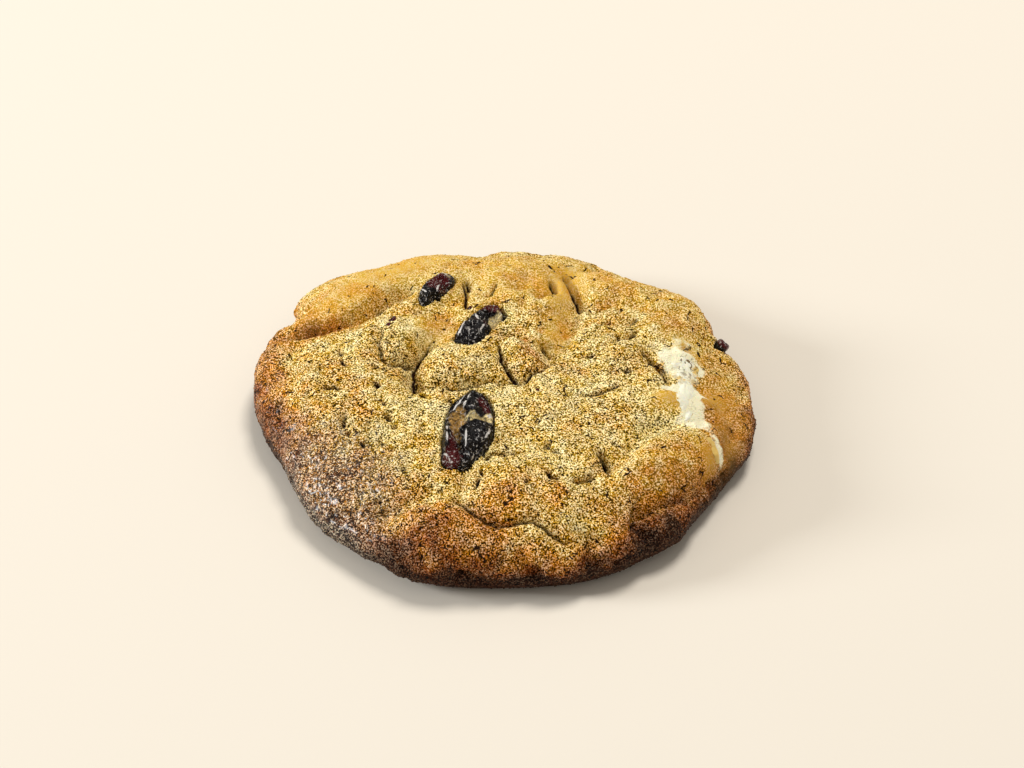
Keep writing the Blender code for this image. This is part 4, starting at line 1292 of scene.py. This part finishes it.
def painted_board(settings):
    """Matt painted board: plain pale cream, without any gloss."""
    material, add, place, tree, shader = new_material("painted_floor")
    grain = add("ShaderNodeTexNoise", patterned(place, *FLOOR_GRAIN))
    fill(tree, shader, {
        "Base Color": (*settings.floor, 1.0),
        "Normal": add("ShaderNodeBump", {"Height": grain, "Strength": 0.05, "Distance": 0.05 * MM}),
        "Roughness": 0.9,
        "Specular IOR Level": 0.1,
    })
    return material


def crumb_tree(material):
    """Node tree that strews small uneven grains over a crust, each half sunk in it."""
    tree = bpy.data.node_groups.new("crumb_grains", "GeometryNodeTree")
    add = functools.partial(add_node, tree)
    face = tree.interface
    face.new_socket("Geometry", in_out="INPUT", socket_type="NodeSocketGeometry")
    for name, kind in (("Radius", "Float"), ("Density", "Float"), ("Seed", "Int")):
        face.new_socket(name, in_out="INPUT", socket_type="NodeSocket" + kind)
    face.new_socket("Geometry", in_out="OUTPUT", socket_type="NodeSocketGeometry")
    given = add("NodeGroupInput").node.outputs
    share = add("GeometryNodeInputNamedAttribute", {"Name": "grainy"}, data_type="FLOAT")
    density = add("ShaderNodeMath", {0: share, 1: given["Density"]}, operation="MULTIPLY")
    strewn = add(
        "GeometryNodeDistributePointsOnFaces",
        {"Mesh": given["Geometry"], "Density": density, "Seed": given["Seed"]},
    ).node.outputs
    ball = add("GeometryNodeMeshIcoSphere", {"Radius": 1.0, "Subdivisions": 1})
    size, turn = (
        add("FunctionNodeRandomValue", {0: low, 1: high, "Seed": given["Seed"]}, data_type="FLOAT_VECTOR")
        for low, high in (CRUMB_SIZES, CRUMB_TURNS)
    )
    size = add("ShaderNodeVectorMath", {0: size, "Scale": given["Radius"]}, operation="SCALE")
    placed = add(
        "GeometryNodeInstanceOnPoints",
        {"Points": strewn["Points"], "Instance": ball, "Rotation": strewn["Rotation"], "Scale": size},
    )
    placed = add("GeometryNodeRotateInstances", {"Instances": placed, "Rotation": turn})
    real = add("GeometryNodeRealizeInstances", {0: placed})
    finished = add("GeometryNodeSetMaterial", {"Geometry": real, "Material": material})
    add("NodeGroupOutput", {0: finished})
    return tree


def set_inputs(modifier, values):
    """Sets a node modifier's inputs by the identifiers of its tree's sockets."""
    sockets = {item.name: item.identifier for item in modifier.node_group.interface.items_tree
               if item.in_out == "INPUT"}
    for name, value in values.items():
        modifier[sockets[name]] = value


def made_plain(item, name):
    """The evaluated result of an object's modifiers as a new plain object, with the first object removed."""
    graph = bpy.context.evaluated_depsgraph_get()
    mesh = bpy.data.meshes.new_from_object(item.evaluated_get(graph))
    mesh.name = name
    plain = bpy.data.objects.new(name, mesh)
    bpy.context.scene.collection.objects.link(plain)
    bpy.data.objects.remove(item, do_unlink=True)
    return plain


class COOKIE_OT_crust(Operator):
    """Bake the dough: a fine crust with its folds, cracks and pits, closed by a flat base"""

    bl_idname = "cookie.crust"
    bl_label = "Bake the crust"

    def execute(self, context):
        points, shares = fine_crust()[2:]
        side = CELLS + 1
        rows = fitted(points.reshape(-1, 3))
        loop = list(range(CELLS)) + [row * side + CELLS for row in range(CELLS)]
        loop += [CELLS * side + col for col in range(CELLS, 0, -1)]
        loop += [row * side for row in range(CELLS, 0, -1)]
        rows, base = halved_rings(loop, rows)
        spare = len(rows) - side * side
        filled = {key: np.append(values.ravel(), np.zeros(spare)) for key, values in shares.items()}
        filled["browned"][-spare:] = UNDERSIDE_BROWNING
        material = baked_dough(context.scene.cookie_crust)
        crust = new_object("dough_crust", rows, grid_faces(side) + base, material, filled)
        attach(crust, BODY)
        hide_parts("dough")
        return {"FINISHED"}


class COOKIE_OT_cranberries(Operator):
    """Set the dried cranberries in the crust"""

    bl_idname = "cookie.cranberries"
    bl_label = "Add the cranberries"

    def execute(self, context):
        material = dried_fruit(context.scene.cookie_fruit)
        for name in FRUIT:
            x, y, z, faces = lump(name)
            middle, turn = INLAYS[name][:2]
            half_height, stands = INLAYS[name][4:6]
            top = ease(z / half_height / ZONE_RISE)
            place = np.stack([x * WRINKLE_STRETCH, y, z], -1)
            small = min(1.0, half_height / WRINKLED_HEIGHT)
            for index, (size, depth) in enumerate(WRINKLES):
                z = z + small * depth * ridges(place, size, 31 + index + len(name), WRINKLE_RIDGES)
            z = z + top * spots(x, y, FRUIT_RELIEF[name], FRUIT_EDGE)
            points = fitted(raised(*crust_place(middle, turn, x, y), ground(*middle) + stands + z))
            points[:, 2] = kept_below(points[:, 2], CAD_BOX[1].z, INLAY_ROOM * MM)
            shares = {
                key: top * spots(x, y, zones[name])
                for key, zones in (("red", RED_ZONES), ("flesh", FLESH_ZONES), ("pale", PALE_ZONES))
            }
            shares["glinting"] = top * spots(x, y, GLINT_ZONES[name], FRUIT_EDGE)
            berry = new_object(name + "_fruit", points, faces, material, shares)
            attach(berry, BODY)
            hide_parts(name)
        return {"FINISHED"}


class COOKIE_OT_white_chocolate(Operator):
    """Set the melted white chocolate in the crust"""

    bl_idname = "cookie.white_chocolate"
    bl_label = "Add the white chocolate"

    def execute(self, context):
        material = set_chocolate(context.scene.cookie_chocolate)
        for name in CHOCOLATE:
            x, y, z, faces = lump(name)
            u, v = crust_place(*INLAYS[name][:2], x, y)
            share = seat_place(u, v, name)[0]
            under = main_relief(u, v)[0] + MELT_FINE * fine_relief(u, v)
            half_height, stands = INLAYS[name][4:6]
            over = (MELT_TOP - MELT_FALL * share**2 - stands) * ease(MELT_SIDES * z / half_height)
            z = np.where(z > 0.0, over, z)
            for index, (size, height) in enumerate(MELT_BUMPS):
                z = z + height * bumps(np.stack([x, y, z], -1), size, 51 + index)
            points = raised(u, v, under + stands + z)
            inner = 1.0 - ease((share - MELT_EDGE) / (1.0 - MELT_EDGE))
            shares = {
                "white": inner * spots(x, y, WHITE_ZONES[name]),
                "pitted": np.clip(spots(x, y, PITTED_ZONES[name]), 0.0, 1.0),
            }
            piece = new_object(name + "_melt", fitted(points), faces, material, shares)
            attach(piece, BODY)
            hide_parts(name)
        return {"FINISHED"}


class COOKIE_OT_fruit_bits(Operator):
    """Press small bits of cranberry skin in the crust"""

    bl_idname = "cookie.fruit_bits"
    bl_label = "Add the bits of fruit"

    def execute(self, context):
        around = np.linspace(0.0, 2.0 * np.pi, BIT_SIDES, endpoint=False)
        up = np.radians(np.linspace(-90.0, 90.0, BIT_RINGS + 1)[1:-1])
        x = with_poles(np.cos(up)[:, None] * np.cos(around), 0.0, 0.0)
        y = with_poles(np.cos(up)[:, None] * np.sin(around), 0.0, 0.0)
        z = with_poles(np.repeat(np.sin(up), BIT_SIDES), -1.0, 1.0)
        size, height = BIT_BUMPS
        points = []
        faces = []
        for index, (at_u, at_v, half_length, half_width, turn) in enumerate(FRUIT_BITS):
            rough = 1.0 + height * bumps(np.stack([x, y, z], -1), size, 61 + index)
            u, v = crust_place((at_u, at_v), turn, x * half_length * rough, y * half_width * rough)
            points.append(raised(u, v, ground(at_u, at_v) + BIT_RISE + z * rough * half_width * BIT_HEIGHT))
            start = index * len(x)
            faces += [[start + corner for corner in face] for face in lump_faces(BIT_SIDES, BIT_RINGS)]
        material = bpy.data.materials["dried_cranberry_skin"]
        points = fitted(np.concatenate(points))
        none = np.zeros(len(points))
        shares = {"red": none + BIT_RED, "flesh": none, "pale": none, "glinting": none}
        bits = new_object("cranberry_bits", points, faces, material, shares)
        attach(bits, BODY)
        return {"FINISHED"}


class COOKIE_OT_crumbs(Operator):
    """Strew crumb grains over the crust"""

    bl_idname = "cookie.crumbs"
    bl_label = "Add the crumb grains"

    def execute(self, context):
        settings = context.scene.cookie_crumbs
        u, v, points, shares = fine_crust()
        grainy = points[..., 2] > CRUMB_FOOT
        for name in FRUIT:
            grainy = grainy * (seat_place(u, v, name)[0] > CRUMB_CLEARANCE)
        grainy = grainy * (1.0 - FEWER_ON_FRESH * shares["fresh"])
        grainy = grainy * (1.0 - FEWER_IN_CRACKS * shares["cracked"])
        material = bpy.data.materials["baked_dough_crust"]
        carried = dict(shares, grainy=grainy, browned=shares["browned"] - PALER_GRAINS)
        bed = new_object("crumb_bed", fitted(points.reshape(-1, 3)), grid_faces(CELLS + 1), material, carried)
        strewer = bed.modifiers.new("strew", "NODES")
        strewer.node_group = crumb_tree(material)
        set_inputs(strewer, {"Radius": settings.radius, "Density": settings.density, "Seed": settings.seed})
        crumbs = made_plain(bed, "crumb_grains")
        crumbs.data.shade_smooth()
        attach(crumbs, BODY)
        return {"FINISHED"}


class COOKIE_OT_stage(Operator):
    """Set the floor, the lights and the camera"""

    bl_idname = "cookie.stage"
    bl_label = "Set the stage"

    def execute(self, context):
        settings = context.scene.cookie_stage
        scene = context.scene
        half = FLOOR_HALF * MM
        corners = np.array([(-half, -half, 0.0), (half, -half, 0.0), (half, half, 0.0), (-half, half, 0.0)])
        floor = new_object("floor", corners, [[0, 1, 2, 3]], painted_board(settings))
        for name, power, (place, size, colour) in (
            ("window", settings.window, WINDOW), ("ceiling", settings.ceiling, CEILING),
        ):
            light = bpy.data.lights.new(name, "AREA")
            light.shape = "DISK"
            light.size = size * MM
            light.energy = power
            light.color = colour
            lamp = bpy.data.objects.new(name, light)
            scene.collection.objects.link(lamp)
            lamp.location = Vector(place) * MM
            way = Vector(LIGHT_TARGET) * MM - lamp.location
            lamp.rotation_euler = way.to_track_quat("-Z", "Y").to_euler()
        world = bpy.data.worlds.new("soft_room")
        world.use_nodes = True
        back = world.node_tree.nodes["Background"]
        back.inputs["Color"].default_value = ROOM_COLOUR
        back.inputs["Strength"].default_value = settings.ambient
        scene.world = world
        camera = bpy.data.objects.new("camera", bpy.data.cameras.new("camera"))
        scene.collection.objects.link(camera)
        camera.data.lens = CAMERA_LENS
        camera.data.clip_end = FAR_CLIP
        camera.location = Vector(CAMERA_PLACE) * MM
        camera.rotation_euler = (np.radians(90.0 - CAMERA_ELEVATION), 0.0, 0.0)
        scene.camera = camera
        scene.view_settings.view_transform = "Standard"
        return {"FINISHED"}


class COOKIE_PT_panel(Panel):
    """Lists the steps of making the cookie"""

    bl_idname = "COOKIE_PT_panel"
    bl_label = "Cookie"
    bl_space_type = "VIEW_3D"
    bl_region_type = "UI"
    bl_category = "Cookie"

    def draw(self, context):
        for step in STEPS:
            self.layout.operator(step.bl_idname)
        for group in GROUPS:
            settings = getattr(context.scene, group)
            for key in GROUPS[group].__annotations__:
                self.layout.prop(settings, key)


STEPS = (
    COOKIE_OT_crust, COOKIE_OT_cranberries, COOKIE_OT_white_chocolate, COOKIE_OT_fruit_bits, COOKIE_OT_crumbs,
    COOKIE_OT_stage,
)
GROUPS = {
    "cookie_crust": CrustSettings,
    "cookie_fruit": FruitSettings,
    "cookie_chocolate": ChocolateSettings,
    "cookie_crumbs": CrumbSettings,
    "cookie_stage": StageSettings,
}


def register():
    for group, kind in GROUPS.items():
        bpy.utils.register_class(kind)
        setattr(bpy.types.Scene, group, PointerProperty(type=kind))
    for kind in STEPS + (COOKIE_PT_panel,):
        bpy.utils.register_class(kind)


def unregister():
    for kind in (COOKIE_PT_panel,) + STEPS[::-1]:
        bpy.utils.unregister_class(kind)
    for group, kind in GROUPS.items():
        delattr(bpy.types.Scene, group)
        bpy.utils.unregister_class(kind)


def main():
    register()
    bpy.ops.cookie.crust()
    bpy.ops.cookie.cranberries()
    bpy.ops.cookie.white_chocolate()
    bpy.ops.cookie.fruit_bits()
    bpy.ops.cookie.crumbs()
    bpy.ops.cookie.stage()


if __name__ == "__main__":
    main()
